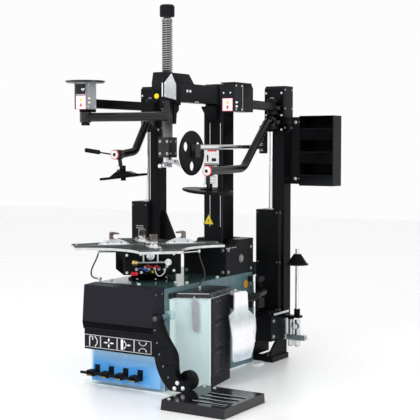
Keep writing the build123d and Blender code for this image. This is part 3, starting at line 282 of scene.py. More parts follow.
def add_lathe(bm, at, axis, profile, count):
    """Turn a profile of (distance along the axis, radius) round an axis."""
    right, up, axis = axes_for(axis)
    rings = []
    for along, radius in profile:
        centre = Vector(at) + axis * along
        around = circle(radius, count) if radius > 1e-6 else [(0, 0)]
        rings.append([bm.verts.new(centre + right * a + up * b) for a, b in around])
    bridge(bm, rings)


RIM = 0.0006                      # eased edge round a plate
SHARP_EDGE = math.radians(38)     # turned pieces stay crisp along edges sharper than this


def add_plate(bm, at, normal, outline, thick, up=None):
    """A flat plate standing on a face: outline points run (right, up) and the front edge is eased."""
    right, up, normal = axes_for(normal, up)
    rim = min(RIM, thick / 2)
    middle = Vector((sum(p[0] for p in outline), sum(p[1] for p in outline), 0)) / len(outline)
    rings = []
    for shrink, lift in ((0, 0), (0, thick - rim), (rim, thick)):
        rings.append([])
        for a, b in outline:
            out = Vector((a, b, 0)) - middle
            inner = middle + out * max(0.0, 1 - shrink / max(out.length, 1e-6))
            rings[-1].append(bm.verts.new(Vector(at) + right * inner.x + up * inner.y + normal * lift))
    bridge(bm, rings)
    close_ends(bm, rings)


def rectangle(width, height, radius=0.0):
    """Outline of a rectangle about its middle; a radius rounds its corners."""
    across, up = width / 2, height / 2
    if not radius:
        return [(-across, -up), (across, -up), (across, up), (-across, up)]
    points = []
    for corner, (sx, sy) in enumerate(((1, 1), (-1, 1), (-1, -1), (1, -1))):
        for quarter in (0, 0.25, 0.5, 0.75, 1):
            turn = math.pi / 2 * (corner + quarter)
            points.append((sx * (across - radius) + radius * math.cos(turn),
                           sy * (up - radius) + radius * math.sin(turn)))
    return points


def plates(name, body, material, items):
    """Flat plates as one piece: items are (at, normal, outline, thickness) and sometimes an up direction."""
    bm = bmesh.new()
    for item in items:
        add_plate(bm, *item)
    return add_object(name, finish_mesh(name, bm, False), body, material)


def turned(name, body, material, items, count=32):
    """Turned shapes as one piece: items are (at, axis, profile) or (at, axis, profile, polygon sides)."""
    bm = bmesh.new()
    for at, axis, profile, *sides in items:
        add_lathe(bm, at, axis, profile, *(sides or [count]))
    piece = add_object(name, finish_mesh(name, bm), body, material)
    ease = piece.modifiers.new("edges", "EDGE_SPLIT")
    ease.split_angle = SHARP_EDGE
    return piece


def bolts(name, body, material, spots):
    """Hexagon bolts on washers: spots are (at, outward direction, radius, head height)."""
    items = []
    for at, out, radius, head in spots:
        base = 0.25 * head
        items.append((at, out, [(0, 0), (0, radius * 1.35), (base * 0.8, radius * 1.35), (base, radius * 1.25),
                                (base, 0)]))
        items.append((at, out, [(base, 0), (base, radius), (head * 0.88, radius), (head, radius * 0.86),
                                (head, 0)], 6))
    return turned(name, body, material, items, count=20)


def screws(name, body, material, spots):
    """Cap screws with a hexagon socket: spots are (at, outward direction, radius)."""
    shape = [(0, 0), (0, 1), (0.85, 1), (1, 0.86), (1, 0.5), (0.45, 0.48), (0.45, 0)]
    return turned(name, body, material, [
        (at, out, [(along * radius, across * radius) for along, across in shape]) for at, out, radius in spots],
        count=18)


def pipe(name, body, material, points, radius):
    """A round wire or tube along a smooth line through its control points."""
    curve = bpy.data.curves.new(name, "CURVE")
    curve.dimensions = "3D"
    spline = curve.splines.new("NURBS")
    spline.points.add(len(points) - 1)
    for spot, point in zip(spline.points, points):
        spot.co = (*point, 1)
    spline.order_u = 3
    spline.use_endpoint_u = True
    curve.bevel_depth = radius
    curve.bevel_resolution = 4
    curve.use_fill_caps = True
    curve.resolution_u = 10
    return add_object(name, curve, body, material)


# ---------------------------------------------------------------- hoses
HOSE_RADIUS = 0.004


def hose(name, node, points):
    """A rubber hose in place of a CAD cord, along the route it has in the CAD."""
    route = [mm(*p) for p in points]
    piece = pipe(name, "root", HOSE, route, HOSE_RADIUS)
    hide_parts(node)


hose("hose_left_outer", "hose_left", [
    (-170, -203, 660), (-177, -206, 634), (-194, -213, 600), (-204, -221, 568), (-199, -227, 545),
    (-180, -230, 532), (-152, -229, 531)])
hose("hose_right_outer", "hose_right", [
    (262, 92, 660), (266, 93, 632), (282, 92, 600), (300, 84, 570), (315, 64, 546), (325, 38, 530),
    (327, 12, 521), (327, -6, 506)])


# ---------------------------------------------------------------- finishes of the carried-over nodes
FAR = 9.0    # past the object, for a zone that is open on one side
BLACK_TONE, CHROME_TONE, HOOK_TONE = (0.003, 0.0033, 0.004), (0.82, 0.83, 0.85), (0.20, 0.165, 0.14)


def zone(material, span, color, rough, metal=0.0, axis="Z", soft=0.0003, mottle=0.12):
    """Give part of a surface, between two levels on the object, a second finish."""
    tree = material.node_tree
    shader = tree.nodes["Principled BSDF"]
    place = add_node(tree, "TexCoord").outputs["Object"]
    along = add_node(tree, "SeparateXYZ", {"Vector": place}).outputs[axis]
    above, below = [add_node(tree, "MapRange", {
        "Value": along, "From Min": edge - soft, "From Max": edge + soft, "To Min": start, "To Max": 1 - start})
        for edge, start in zip(span, (0, 1))]
    inside = add_node(tree, "Math", {0: above.outputs["Result"], 1: below.outputs["Result"]})
    inside.operation = "MULTIPLY"
    _, tint = clouded(tree, place, color, mottle, 26, 5, (0.35, 0.65))
    for key, kind, second in (("Base Color", "RGBA", tint), ("Roughness", "FLOAT", rough),
                              ("Metallic", "FLOAT", metal)):
        socket = shader.inputs[key]
        first = socket.links[0].from_socket if socket.links else socket.default_value
        fill(tree, shader, {key: mixed(tree, kind, inside.outputs["Value"], first, second)})
    return material


def variant(material, name):
    copy = material.copy()
    copy.name = name
    return copy


side_paint = zone(variant(TEAL, "side_box_paint"), (0.4621, FAR), (0.007, 0.0075, 0.009), 0.3)
jaw_metal = zone(variant(ZINC, "jaw_zinc_and_steel"), (high("jaw_1").z - 0.0385, FAR), HOOK_TONE, 0.4, 0.9,
                 mottle=0.35)
jaw_metal = zone(jaw_metal, (0, high("turntable").z - 0.004), (0.03, 0.03, 0.03), 0.5)
carriage_paint = zone(variant(BLACK, "carriage_paint_and_rod"), (0, 1.296), CHROME_TONE, 0.1, 1.0, mottle=0.02)
shaft_metal_with_painted_shade = zone(variant(DARK_CHROME, "hex_shaft_clamp_and_painted_shade"), (1.10, 1.2603), BLACK_TONE, 0.35)
# painted shade: the shaft above Z 1.588, inside the return spring, is painted near black for the shade between the
# coils
shaft_metal_with_painted_shade = zone(shaft_metal_with_painted_shade, (1.588, FAR), (0.02, 0.021, 0.022), 0.35)
cone_paint = zone(variant(BLACK, "cone_and_spindle"), (0, 0.5488), CHROME_TONE, 0.1, 1.0, mottle=0.02)
cone_paint = zone(cone_paint, (0.6112, FAR), CHROME_TONE, 0.12, 1.0, mottle=0.02)
box_paint = zone(variant(GREY, "control_box_and_tray"), (1.5402, FAR), (0.008, 0.009, 0.010), 0.28)
box_paint = zone(box_paint, (-0.272, -0.2585), (0.03, 0.032, 0.036), 0.4, axis="X")
rod_finish = zone(variant(CHROME, "disc_rod"), (0.60, FAR), BLACK_TONE, 0.35, axis="Y")
rod_finish = zone(rod_finish, (-FAR, 0.006), BLACK_TONE, 0.35, axis="Y")
rim_metal = zone(variant(TABLE, "turntable_bare_rim"), (0.684, 0.6975), (0.72, 0.73, 0.74), 0.25, 0.9)
bracket_paint = zone(variant(BLACK, "hinge_and_bracket_paint"), (-0.290, -0.240), (0.42, 0.60, 0.61), 0.4, axis="Y")
lift_paint = zone(variant(BLACK, "lift_arm_paint"), (-0.351, -0.240), (0.12, 0.2, 0.22), 0.4, axis="Y")
# painted shade: the cabinet's right wall (X past 0.3012) is painted dark teal, and its top (Z past 0.5144) a darker
# glossy green, for how light falls on them
cabinet_paint_with_painted_shade = zone(variant(TEAL, "cabinet_paint_with_painted_shade"), (0.3012, FAR), (0.085, 0.16, 0.185), 0.3, axis="X", mottle=0.1)
cabinet_paint_with_painted_shade = zone(cabinet_paint_with_painted_shade, (0.5144, FAR), (0.05, 0.125, 0.115), 0.14, mottle=0.25)
# painted shade and painted reflection: a greyer band near the top and a blue-grey band near the bottom of the bent
# blade stand in for its shading
blade_painted_shading = zone(variant(ZINC, "blade_painted_shade_bands"), (0.30, 0.385), (0.52, 0.57, 0.59), 0.35, 0.3, soft=0.03)
blade_painted_shading = zone(blade_painted_shading, (0.10, 0.165), (0.50, 0.58, 0.64), 0.3, 0.3, soft=0.02)
cover_paint = zone(variant(COVER, "front_cover_paint"), (0.19, 0.338), (0.002, 0.002, 0.003), 0.35)

FINISHES = {
    "base_flange": PALE, "cabinet": cabinet_paint_with_painted_shade, "pedal_panel": BLUE, "front_cover": cover_paint,
    "symbol_strip": COVER, "side_box": side_paint, "rubber_pads": RUBBER, "table_housing": MATT,
    "housing_hardware": STEEL, "gearbox": CAST, "motor": CAST, "drive_belt": RUBBER, "column_base": BLACK,
    "left_tower": BLACK, "right_tower": BLACK, "tool_box": BLACK, "side_brackets": bracket_paint,
    "air_unit": ALLOY, "turntable": rim_metal, "tilt_column": BLACK, "horizontal_arm": BLACK, "arm_hood": BLACK,
    "lock_button": YELLOW, "hex_shaft": shaft_metal_with_painted_shade, "shaft_cap": RUBBER, "mount_head": STEEL,
    "demount_hook": STEEL, "right_carriage": carriage_paint, "left_carriage": carriage_paint,
    "right_link": BLACK, "left_link": BLACK, "right_control_box": BLACK, "left_control_box": box_paint,
    "left_swing_tube": GLOSS, "right_press_arm": GLOSS, "right_press_disc": BLACK, "disc_arm": rod_finish,
    "wheel_disc": BLACK, "left_press_arm": GLOSS, "left_lever": BLACK, "left_press_foot": BLACK,
    "breaker_arm": BLACK, "breaker_blade": blade_painted_shading, "lift_arm": lift_paint, "lift_platform": GLOSS,
    "centring_cone": cone_paint, "tyre_lever": LILAC, "motor_pulley": ALLOY, "worm_pulley": ALLOY,
}
for number in range(1, 5):
    FINISHES[f"jaw_{number}"] = jaw_metal
    FINISHES[f"pedal_{number}"] = BLACK
for node, material in FINISHES.items():
    for holder in NODES[node].material_slots:
        holder.material = material


# ---------------------------------------------------------------- return spring
SHAFT = Vector((0.156, -0.042, 0))


def make_spring():
    """A coiled wire with closed ends."""
    coils, wire, radius = 24, 0.0047, 0.0236
    bottom, top = low("return_spring").z, high("return_spring").z
    steps = coils * 22
    bm = bmesh.new()
    rings = []
    for step in range(steps + 1):
        part = step / steps
        turn = 2 * math.pi * coils * part
        closed = min(1.0, part * coils / 1.2, (1 - part) * coils / 1.2)
        rise = bottom + wire + (top - bottom - 2 * wire) * (part * 0.97 + 0.03 * part * closed)
        out = level(turn)
        centre = SHAFT + out * radius + UP * rise
        rings.append([bm.verts.new(centre + out * a + UP * b) for a, b in circle(wire, 10)])
    bridge(bm, rings)
    close_ends(bm, rings)
    name = "return_spring_coils"
    coil = add_object(name, finish_mesh(name, bm), "horizontal_arm", SPRING)
    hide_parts("return_spring")
    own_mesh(coil)


make_spring()

# the ribbed rim of the cap on top of the shaft
cap_low, cap_high = low("shaft_cap").z, high("shaft_cap").z
cap_profile = [(cap_low, 0.034), (cap_low, 0.0371)]
for rib in range(5):
    step = cap_low + 0.006 + rib * 0.0092
    cap_profile += [(step, 0.0371), (step + 0.0012, 0.0386), (step + 0.0052, 0.0386), (step + 0.0064, 0.0371)]
cap_profile += [(cap_high - 0.007, 0.0371), (cap_high - 0.0061, 0.0368), (cap_high - 0.0061, 0.034)]
turned("shaft_cap_ribs", "tool_shaft", RUBBER, [(SHAFT, UP, cap_profile)], count=48)


# ---------------------------------------------------------------- labels, knobs and pictograms
def arrow(height, width, down=False):
    """Outline of a broad arrow about its middle."""
    half, shaft = height / 2, width * 0.22
    points = [(-shaft, -half), (shaft, -half), (shaft, 0), (width / 2, 0), (0, half), (-width / 2, 0), (-shaft, 0)]
    return [(x, -y) for x, y in reversed(points)] if down else points


def shifted(outline, right, up):
    return [(x + right, y + up) for x, y in outline]


def control_label(tag, body, at, width, height):
    """A white label with a red border, a yellow arrow up and a red arrow down."""
    long, broad = height * 0.27, width * 0.34
    for name, material, lift, outline, thick in (
            ("label_border", PINK, 0, rectangle(width, height, 0.003), 0.0006),
            ("label", WHITE, 0.0005, rectangle(width - 0.005, height - 0.005, 0.002), 0.0005),
            ("arrow_up", YELLOW, 0.0009, shifted(arrow(long, broad), 0, height * 0.17), 0.0005),
            ("arrow_down", RED, 0.0009, shifted(arrow(long, broad, True), 0, -height * 0.2), 0.0005)):
        plates(f"{tag}_{name}", body, material, [(at + FRONT * lift, FRONT, outline, thick)])


LEFT_ELBOW, RIGHT_ELBOW = Vector((-0.230, -0.226, 0)), Vector((0.427, 0.148, 0))
control_label("left_control", "left_link", LEFT_ELBOW + mm(3, -41, 1438), 0.066, 0.070)
control_label("right_control", "right_link", RIGHT_ELBOW + mm(-2, -40, 1426), 0.062, 0.066)

screws("left_control_screws", "left_link", ZINC, [
    (LEFT_ELBOW + mm(41, y, z), RIGHT, 0.0045) for y in (-30, 30) for z in (1416, 1528)])
screws("right_control_screws", "right_link", ZINC, [
    (RIGHT_ELBOW + mm(x, -40, 1486), FRONT, 0.0045) for x in (-24, 16)] + [
    (RIGHT_ELBOW + mm(40, y, z), RIGHT, 0.0042) for y in (-28, 28) for z in (1402, 1522)])

BUTTON = [(0, 0), (0, 0.0062), (0.0035, 0.0062), (0.0035, 0.0044), (0.0085, 0.0042), (0.0095, 0.0034), (0.0095, 0)]
turned("left_control_buttons", "left_link", NYLON, [
    (LEFT_ELBOW + mm(41, -24, z), RIGHT, BUTTON) for z in (1459, 1437)])
turned("right_control_buttons", "right_link", NYLON, [
    (RIGHT_ELBOW + mm(40, -26, z), RIGHT, BUTTON) for z in (1437, 1417)])
turned("left_control_lamp", "left_link", CHROME, [
    (LEFT_ELBOW + mm(20, -41, 1505), FRONT, [(0, 0), (0, 0.008), (0.003, 0.008), (0.004, 0.0055), (0.012, 0.005),
                                             (0.015, 0.003), (0.016, 0)])])
plates("left_control_window", "left_link", GLOSS, [
    (LEFT_ELBOW + mm(3, -41, 1507), FRONT, rectangle(0.062, 0.052, 0.004), 0.0012)])

# the seam where the right control box's halves meet
plates("right_control_seam", "right_link", SILVER, [
    (RIGHT_ELBOW + mm(38.2, 42, 1462), RIGHT, rectangle(0.0022, 0.138), 0.0022)])


def knob_face(tag, body, at):
    """A red-ringed white disc with a dark centre, facing the operator."""
    turned(f"{tag}_ring", body, RED, [
        (at, FRONT, [(0, 0), (0, 0.027), (0.003, 0.027), (0.0045, 0.02565), (0.0045, 0)])], count=40)
    turned(f"{tag}_disc", body, WHITE, [
        (at, FRONT, [(0, 0), (0, 0.02268), (0.0055, 0.02268), (0.0062, 0.0216), (0.0062, 0)])], count=40)
    turned(f"{tag}_centre", body, RUBBER, [
        (at, FRONT, [(0, 0), (0, 0.00918), (0.010, 0.00918), (0.0125, 0.00702), (0.013, 0)], 6)])


knob_face("left_knob", "left_lever", mm(-253, 54, 1169))
knob_face("right_knob", "right_press_arm", mm(400, -48, 1090))

# ribbed grip on the left lever
grip_start, grip_end = mm(-369, 65, 1181), mm(-463, 65, 1193)
grip_run = (grip_end - grip_start).length
grip = [(0, 0), (0, 0.0105), (0.004, 0.0122)]
for rib in range(8):
    along = 0.010 + rib * 0.0095
    grip += [(along, 0.0124), (along + 0.002, 0.0112), (along + 0.005, 0.0112), (along + 0.007, 0.0124)]
grip += [(grip_run - 0.003, 0.0124), (grip_run + 0.001, 0.009), (grip_run + 0.002, 0)]
turned("left_lever_grip", "left_lever", RUBBER, [(grip_start, grip_end - grip_start, grip)])

# pedal pictograms, drawn in millimetres about the middle of each frame
STRIP_FRONT = low("symbol_strip").y
ICON_Z = low("symbol_strip").z + 0.042
FIRST_ICON_X, ICON_PITCH, ICON_STRETCH = -0.06825, 0.1035, 1.3


def stroke(points, width):
    """Outlines of bars along a broken line."""
    bars = []
    for start, end in zip(points, points[1:]):
        start, end = Vector(start), Vector(end)
        grow = (end - start).normalized() * (width / 2)
        side = Vector((-grow.y, grow.x))
        bars.append([start - grow + side, start - grow - side, end + grow - side, end + grow + side])
    return bars


def arc_points(cx, cy, radius, start, end):
    turns = [math.radians(start + (end - start) * k / 8) for k in range(9)]
    return [(cx + radius * math.cos(t), cy + radius * math.sin(t)) for t in turns]


def petal(angle, near, far, half):
    """Outline of a long diamond that points away from the middle at an angle."""
    c, s = math.cos(math.radians(angle)), math.sin(math.radians(angle))
    shape = [(near, 0), ((near + far) / 2, -half), (far, 0), ((near + far) / 2, half)]
    return [(x * c - y * s, x * s + y * c) for x, y in shape]


drawings = [
    stroke([(-13, -24), (-13, 24), (2, 24), (2, 8)], 4) + stroke([(14, 24), (24, 8), (24, -8), (14, -24)], 4),
    [petal(a, 3, 26, 4.6) for a in (0, 90, 180, 270)],
    [[(-22, -26), (-11, -26), (-11, 26), (-22, 26)]] + stroke([(-6, 18), (2, 6), (2, -6), (-6, -18)], 4)
    + [petal(0, 4, 25, 5)],
    stroke(arc_points(0, 24, 17, 190, 350), 4.6) + stroke(arc_points(0, -24, 17, 10, 170), 4.6),
]
frames, icons = [], []
for number, drawing in enumerate(drawings):
    spot = Vector((FIRST_ICON_X + ICON_PITCH * number, STRIP_FRONT, ICON_Z))
    for outline in stroke([(-50, -31), (50, -31), (50, 31), (-50, 31), (-50, -31)], 1.9):
        frames.append((spot, FRONT, [(a / 1000, b / 1000) for a, b in outline], 0.0007))
    for outline in drawing:
        icons.append((spot, FRONT, [(ICON_STRETCH * a / 1000, b / 1000) for a, b in outline], 0.0009))
plates("pedal_pictogram_frames", "root", WHITE, frames)
plates("pedal_pictograms", "root", WHITE, icons)

# labels and inlaid lines on the tilt column's front
COLUMN_FACE = 401
plates("column_rail_lines", "tilt_column", SILVER, [
    (mm(x, COLUMN_FACE, z), FRONT, rectangle(0.0026, length / 1000), 0.0012)
    for x, z, length in ((137, 1268, 146), (204, 1268, 146), (137, 868, 190), (204, 868, 190))])
for name, material, thick, marks in (
        ("label", WHITE, 0.001, [(146, 1153, rectangle(0.096, 0.080, 0.003))]),
        ("label_header", RED, 0.0016, [(150, 1189, rectangle(0.060, 0.007, 0.001))]),
        ("label_footer", GREY, 0.0016, [(146, 1118, rectangle(0.092, 0.008, 0.001))]),
        ("label_marks", RUBBER, 0.0015, [
            (162, 1140, rectangle(0.028, 0.018, 0.001)),
            (122, 1150, [(-0.004, -0.020), (0.003, -0.020), (0.006, 0.004), (0.001, 0.020), (-0.006, 0.014)])]),
        ("lower_label", WHITE, 0.001, [(142, 1048, rectangle(0.088, 0.118, 0.003))]),
        ("lower_label_header", YELLOW, 0.0015, [(142, 1092, rectangle(0.084, 0.026, 0.002))]),
        ("lower_label_bars", GREY, 0.0014, [(142, z, rectangle(0.070, 0.006)) for z in (1062, 1046, 1030, 1014)]),
        ("triangle", RUBBER, 0.0008, [(128, 812, [(-0.036, -0.030), (0.036, -0.030), (0, 0.034)])]),
        ("triangle_face", YELLOW, 0.0013, [(128, 811, [(-0.030, -0.0255), (0.030, -0.0255), (0, 0.027)])]),
        ("triangle_mark", RUBBER, 0.0018, [
            (128, 803, [(-0.0025, -0.010), (0.0035, -0.002), (0.0005, 0.000), (0.004, 0.012), (-0.0035, 0.003),
                        (-0.0005, 0.000)])])):
    plates(f"column_{name}", "tilt_column", material, [
        (mm(x, COLUMN_FACE, z), FRONT, outline, thick) for x, z, outline in marks])

# ---------------------------------------------------------------- hood, arm and column metalwork
HOOD_SIDE = high("arm_hood").x
plates("hood_side_plate", "horizontal_arm", SILVER, [
    (Vector((HOOD_SIDE, 0, 0)), RIGHT, [
        (-0.125, 1.462), (-0.020, 1.451), (-0.020, 1.530), (-0.062, 1.584), (-0.125, 1.534)], 0.0016)])
plates("hood_front_strip", "horizontal_arm", SILVER, [
    (Vector((0.1868, low("arm_hood").y, 1.4975)), FRONT, rectangle(0.007, 0.070), 0.0014)])
plates("arm_edge_strip", "horizontal_arm", SILVER, [
    (mm(191, 184, 1446.5), RIGHT, rectangle(0.038, 0.006, 0.001), 0.0012)])
screws("hood_plate_screws", "horizontal_arm", ZINC, [
    (Vector((HOOD_SIDE + 0.0014, y, z)), RIGHT, 0.0038) for y, z in
    ((-0.116, 1.470), (-0.116, 1.529), (-0.062, 1.572), (-0.029, 1.460))])
bolts("arm_stop_bolts", "horizontal_arm", ZINC, [
    (mm(x, y, 1500), out, 0.006, 0.005) for x, out in ((191, RIGHT), (121, LEFT)) for y in (90, 118)])
bolts("column_head_bolts", "tilt_column", BOLT, [
    (mm(x, y, z), out, 0.007, 0.006) for x, out in ((203, RIGHT), (109, LEFT)) for y in (418, 500)
    for z in (1447, 1535)])
turned("lock_button_bezel", "horizontal_arm", BLACK, [
    (mm(156, -131, 1466), FRONT, [(-0.002, 0.0145), (0.004, 0.0175), (0.0055, 0.0165), (0.0055, 0.0147),
                                  (-0.002, 0.0145)])])

# fastenings of the shaft's clamp and the mount head
bolts("shaft_clamp_bolts", "tool_shaft", BOLT, [
    (mm(x, -78, z), FRONT, 0.0055, 0.005) for x in (134, 178) for z in (1176, 1238)] + [
    (mm(189, y, z), RIGHT, 0.005, 0.0045) for y in (-63, -19) for z in (1176, 1238)])
turned("mount_head_roller", "tool_shaft", NYLON, [
    (mm(128, -62, 1112), (0, -1, 0.1), [(0, 0), (0, 0.009), (0.012, 0.010), (0.014, 0.008), (0.014, 0)])])
screws("mount_head_screw", "tool_shaft", ZINC, [(mm(156, -76, 1118), FRONT, 0.006)])

# tilt pin ends and the column's base
bolts("tilt_pin_nuts", "tilt_column", BOLT, [
    (mm(299, 462, 600), RIGHT, 0.017, 0.010), (mm(24, 462, 600), LEFT, 0.017, 0.010)])
bolts("column_base_bolts", "root", BOLT, [
    (mm(x, 306, z), FRONT, 0.007, 0.006) for x in (46, 277) for z in (535, 655)] + [
    (mm(x, y, z), out, 0.007, 0.006) for x, out in ((297, RIGHT), (26, LEFT)) for y in (330, 576)
    for z in (535, 655)])
plates("column_base_slots", "root", SILVER, [
    (mm(297, y, 665), RIGHT, rectangle(0.018, 0.004, 0.001), 0.0008) for y in (318, 346, 374, 402)])

# ---------------------------------------------------------------- helper carriages and towers
screws("right_carriage_front_screws", "right_carriage", ZINC, [
    (mm(x, 722, z), FRONT, 0.0062) for x in (311, 409) for z in (1308, 1388, 1512)])
screws("right_carriage_side_screws", "right_carriage", BOLT, [
    (mm(420, y, z), RIGHT, 0.0062) for y in (738, 818) for z in (1318, 1425, 1530)])
turned("right_carriage_rollers", "right_carriage", CAST, [
    (mm(349, 737, z), RIGHT, [(0, 0), (0, 0.010), (0.002, 0.012), (0.044, 0.012), (0.046, 0.010), (0.046, 0)])
    for z in (1349, 1429)])
screws("left_carriage_front_screws", "left_carriage", ZINC, [
    (mm(x, 392, z), FRONT, 0.0055) for x in (-310, -200) for z in (1308, 1384, 1500)])
screws("left_carriage_side_screws", "left_carriage", BOLT, [
    (mm(-188, y, z), RIGHT, 0.0055) for y in (404, 472) for z in (1316, 1424, 1532)])
bolts("arm_pin_nuts", "right_carriage", BOLT, [(mm(364, 692, 1479), UP, 0.012, 0.008)])
bolts("left_arm_pin_nuts", "left_carriage", BOLT, [(mm(-228, 356, 1479), UP, 0.012, 0.008)])

# rod seals on the lift cylinders and screws in the tower covers
SEAL = [(0, 0.0128), (0, 0.020), (0.005, 0.020), (0.009, 0.0165), (0.011, 0.0165), (0.012, 0.0128)]
turned("rod_seals", "root", ALLOY, [
    (mm(-295, 420, 900), UP, SEAL), (mm(334, 736, 857), UP, SEAL)])
screws("tower_cover_screws", "root", SPRING, [
    (mm(x, 376, z), FRONT, 0.0045) for x in (-368, -279) for z in (70, 470, 880)] + [
    (mm(x, 705, z), FRONT, 0.0045) for x in (268, 390) for z in (290, 560, 840)] + [
    (mm(402, 717, z), RIGHT, 0.0045) for z in (290, 560, 840)])
plates("tower_cover_plate", "root", GREY, [
    (mm(-322, 376, z), FRONT, rectangle(0.052, 0.005, 0.001), 0.0006) for z in (760, 748)])
bolts("rear_frame_bolts", "root", BOLT, [
    (mm(x, 672, 30), UP, 0.009, 0.007) for x in (-366, -180, 0, 180, 360)] + [
    (mm(x, 766, 30), UP, 0.009, 0.007) for x in (318, 362)] + [
    (mm(-361, 560, 30), UP, 0.009, 0.007)])
bolts("tower_base_bolts", "root", BOLT, [
    (mm(412, y, z), RIGHT, 0.008, 0.007) for y in (630, 800) for z in (150, 238)] + [
    (mm(x, 830, z), BACK, 0.008, 0.007) for x in (272, 390) for z in (150, 238)])
plates("tower_base_clamp", "root", SILVER, [
    (mm(412, 720, 274), RIGHT, rectangle(0.176, 0.012, 0.003), 0.004)])
bolts("tool_box_bolts", "root", ZINC, [
    (mm(x, 840, z), FRONT, 0.007, 0.006) for x in (436, 466) for z in (1030, 1350)])
bolts("left_tower_bolts", "root", BOLT, [
    (mm(x, y, 40), UP, 0.006, 0.005) for x in (-386, -198) for y in (372, 476)])

# folded lips round the tool box's trays
BOX_LOW, BOX_HIGH = low("tool_box"), high("tool_box")
tray = (BOX_HIGH.z - BOX_LOW.z) / 3
plates("tool_box_lips", "root", BLACK, [
    (Vector(((BOX_LOW.x + BOX_HIGH.x) / 2, BOX_LOW.y, BOX_LOW.z + tray * row + 0.0585)), FRONT,
     rectangle(BOX_HIGH.x - BOX_LOW.x - 0.006, 0.007, 0.0018), 0.003) for row in range(3)])

# ---------------------------------------------------------------- turntable
TOP = high("turntable").z
DIAGONALS = [math.radians(a) for a in (-45, 45, 135, 225)]
JAW_SEAT = 0.178


def on_table(angle, along, aside=0.0, above=0.0):
    """A point on or above the turntable, along one of its arms and to one side of it."""
    return level(angle) * along + level(angle + math.pi / 2) * aside + UP * (TOP + above)


turned("table_hub", "turntable", BLACK, [
    (UP * TOP, UP, [(0, 0), (0, 0.022), (0.003, 0.022), (0.005, 0.019), (0.005, 0)])], count=40)
bolts("table_hub_bolt", "turntable", ZINC, [(UP * (TOP + 0.005), UP, 0.010, 0.007)])
plates("table_slot_edges", "turntable", SILVER, [
    (on_table(a, 0.192, aside), UP, rectangle(0.0016, 0.236), 0.0007, level(a))
    for a in DIAGONALS for aside in (-0.0125, 0.0125)])
plates("table_size_marks", "turntable", WHITE, [
    (on_table(a, 0.120 + 0.018 * mark, 0.022), UP, rectangle(0.007, 0.0012), 0.0004, level(a))
    for a in DIAGONALS for mark in range(11)])
bolts("table_arm_bolts", "turntable", BOLT, [(on_table(a, 0.374), UP, 0.007, 0.005) for a in DIAGONALS])
for number, a in enumerate(DIAGONALS, start=1):
    side = level(a + math.pi / 2)
    screws(f"jaw_{number}_screws", f"jaw_{number}", SPRING, [
        (on_table(a, JAW_SEAT + d, above=0.012) + face * 0.007, face, 0.0042)
        for d in (-0.036, 0.036) for face in (side, -side)])
    plates(f"jaw_{number}_wings", f"jaw_{number}", ZINC, [
        (on_table(a, JAW_SEAT, above=0.0006), UP, rectangle(0.060, 0.124), 0.0045, level(a))])

# ---------------------------------------------------------------- valve gear on the clamping housing
FACE_ACROSS, FACE_OUT = level(math.radians(45)), level(math.radians(-45))
FACE_MIDDLE = FACE_OUT * 0.150 + UP * 0.615


def on_face(along, up, out=0.0):
    """A point on the housing's plate face, in millimetres from its middle."""
    return FACE_MIDDLE + (FACE_ACROSS * along + UP * up + FACE_OUT * out) / 1000


plates("housing_face_plate", "root", MATT, [
    (on_face(0, 0), FACE_OUT, rectangle(0.288, 0.110, 0.006), 0.0022)])
turned("brass_fitting", "root", BRASS, [
    (on_face(-96, 6, 29), FACE_OUT, [(-0.028, 0.013), (-0.006, 0.013), (-0.004, 0.0165), (0.002, 0.0165),
                                     (0.006, 0.012), (0.009, 0.006), (0.009, 0)])])
turned("ring_fitting", "root", CHROME, [
    (on_face(76, 6, 29), FACE_OUT, [(-0.028, 0.0115), (-0.006, 0.0115), (-0.005, 0.017), (0.001, 0.017),
                                    (0.001, 0.012), (-0.002, 0.0115), (-0.002, 0.006), (0.004, 0.005), (0.004, 0)])])
turned("valve_disc", "root", ALLOY, [
    (on_face(-14, 40, 16), FACE_OUT, [(-0.002, 0), (-0.002, 0.0222), (0.002, 0.0215), (0.003, 0.017), (0.0015, 0.015),
                                      (0.0015, 0.006), (0.005, 0.005), (0.005, 0)])])
turned("push_in_fittings", "root", NYLON, [
    (on_face(along, up, 2), FACE_OUT, [(0, 0), (0, 0.008), (0.006, 0.008), (0.008, 0.0065), (0.015, 0.0065),
                                       (0.016, 0.005), (0.016, 0)])
    for along, up in ((-84, -30), (-40, -20), (-22, -30), (8, -26), (30, -30), (60, -34), (72, -18))])
pipe("red_air_tube", "root", RED, [
    on_face(-40, -20, 17), on_face(-40, -18, 27), on_face(-34, -5, 31), on_face(-16, -14, 30), on_face(-2, -22, 31),
    on_face(12, -10, 31), on_face(24, -14, 28), on_face(30, -28, 24), on_face(30, -30, 17)], 0.0033)
pipe("blue_air_tube", "root", AIR_BLUE, [
    on_face(-84, -30, 17), on_face(-84, -30, 27), on_face(-66, -18, 30), on_face(-44, -34, 31), on_face(-26, -40, 28),
    on_face(-22, -32, 24), on_face(-22, -30, 17)], 0.0028)
pipe("white_air_tube", "root", NYLON, [
    on_face(60, -34, 17), on_face(60, -34, 28), on_face(52, -52, 36), on_face(30, -66, 38), on_face(14, -56, 34),
    on_face(8, -34, 26), on_face(8, -26, 17)], 0.0028)
turned("red_valve_caps", "root", RED, [
    (on_face(along, -52, 4), FACE_OUT, [(0, 0), (0, 0.011), (0.012, 0.011), (0.015, 0.008), (0.015, 0)], 6)
    for along in (-88, -104)])
turned("yellow_fitting", "root", YELLOW, [
    (on_face(-2, -44, 2), FACE_OUT, [(0, 0), (0, 0.007), (0.014, 0.0065), (0.018, 0.004), (0.018, 0)])])
turned("table_neck_rings", "root", BLACK, [
    ((0, 0, 0.515), UP, [(0, 0.0885), (0, 0.104), (0.006, 0.104), (0.008, 0.100), (0.010, 0.0885)]),
    ((0, 0, 0.546), UP, [(0, 0.0885), (0, 0.096), (0.009, 0.098), (0.0095, 0.0885)])], count=56)
bolts("table_neck_bolts", "root", ZINC, [
    (level(math.radians(turn)) * 0.096 + UP * 0.523, UP, 0.005, 0.005) for turn in range(30, 390, 60)])

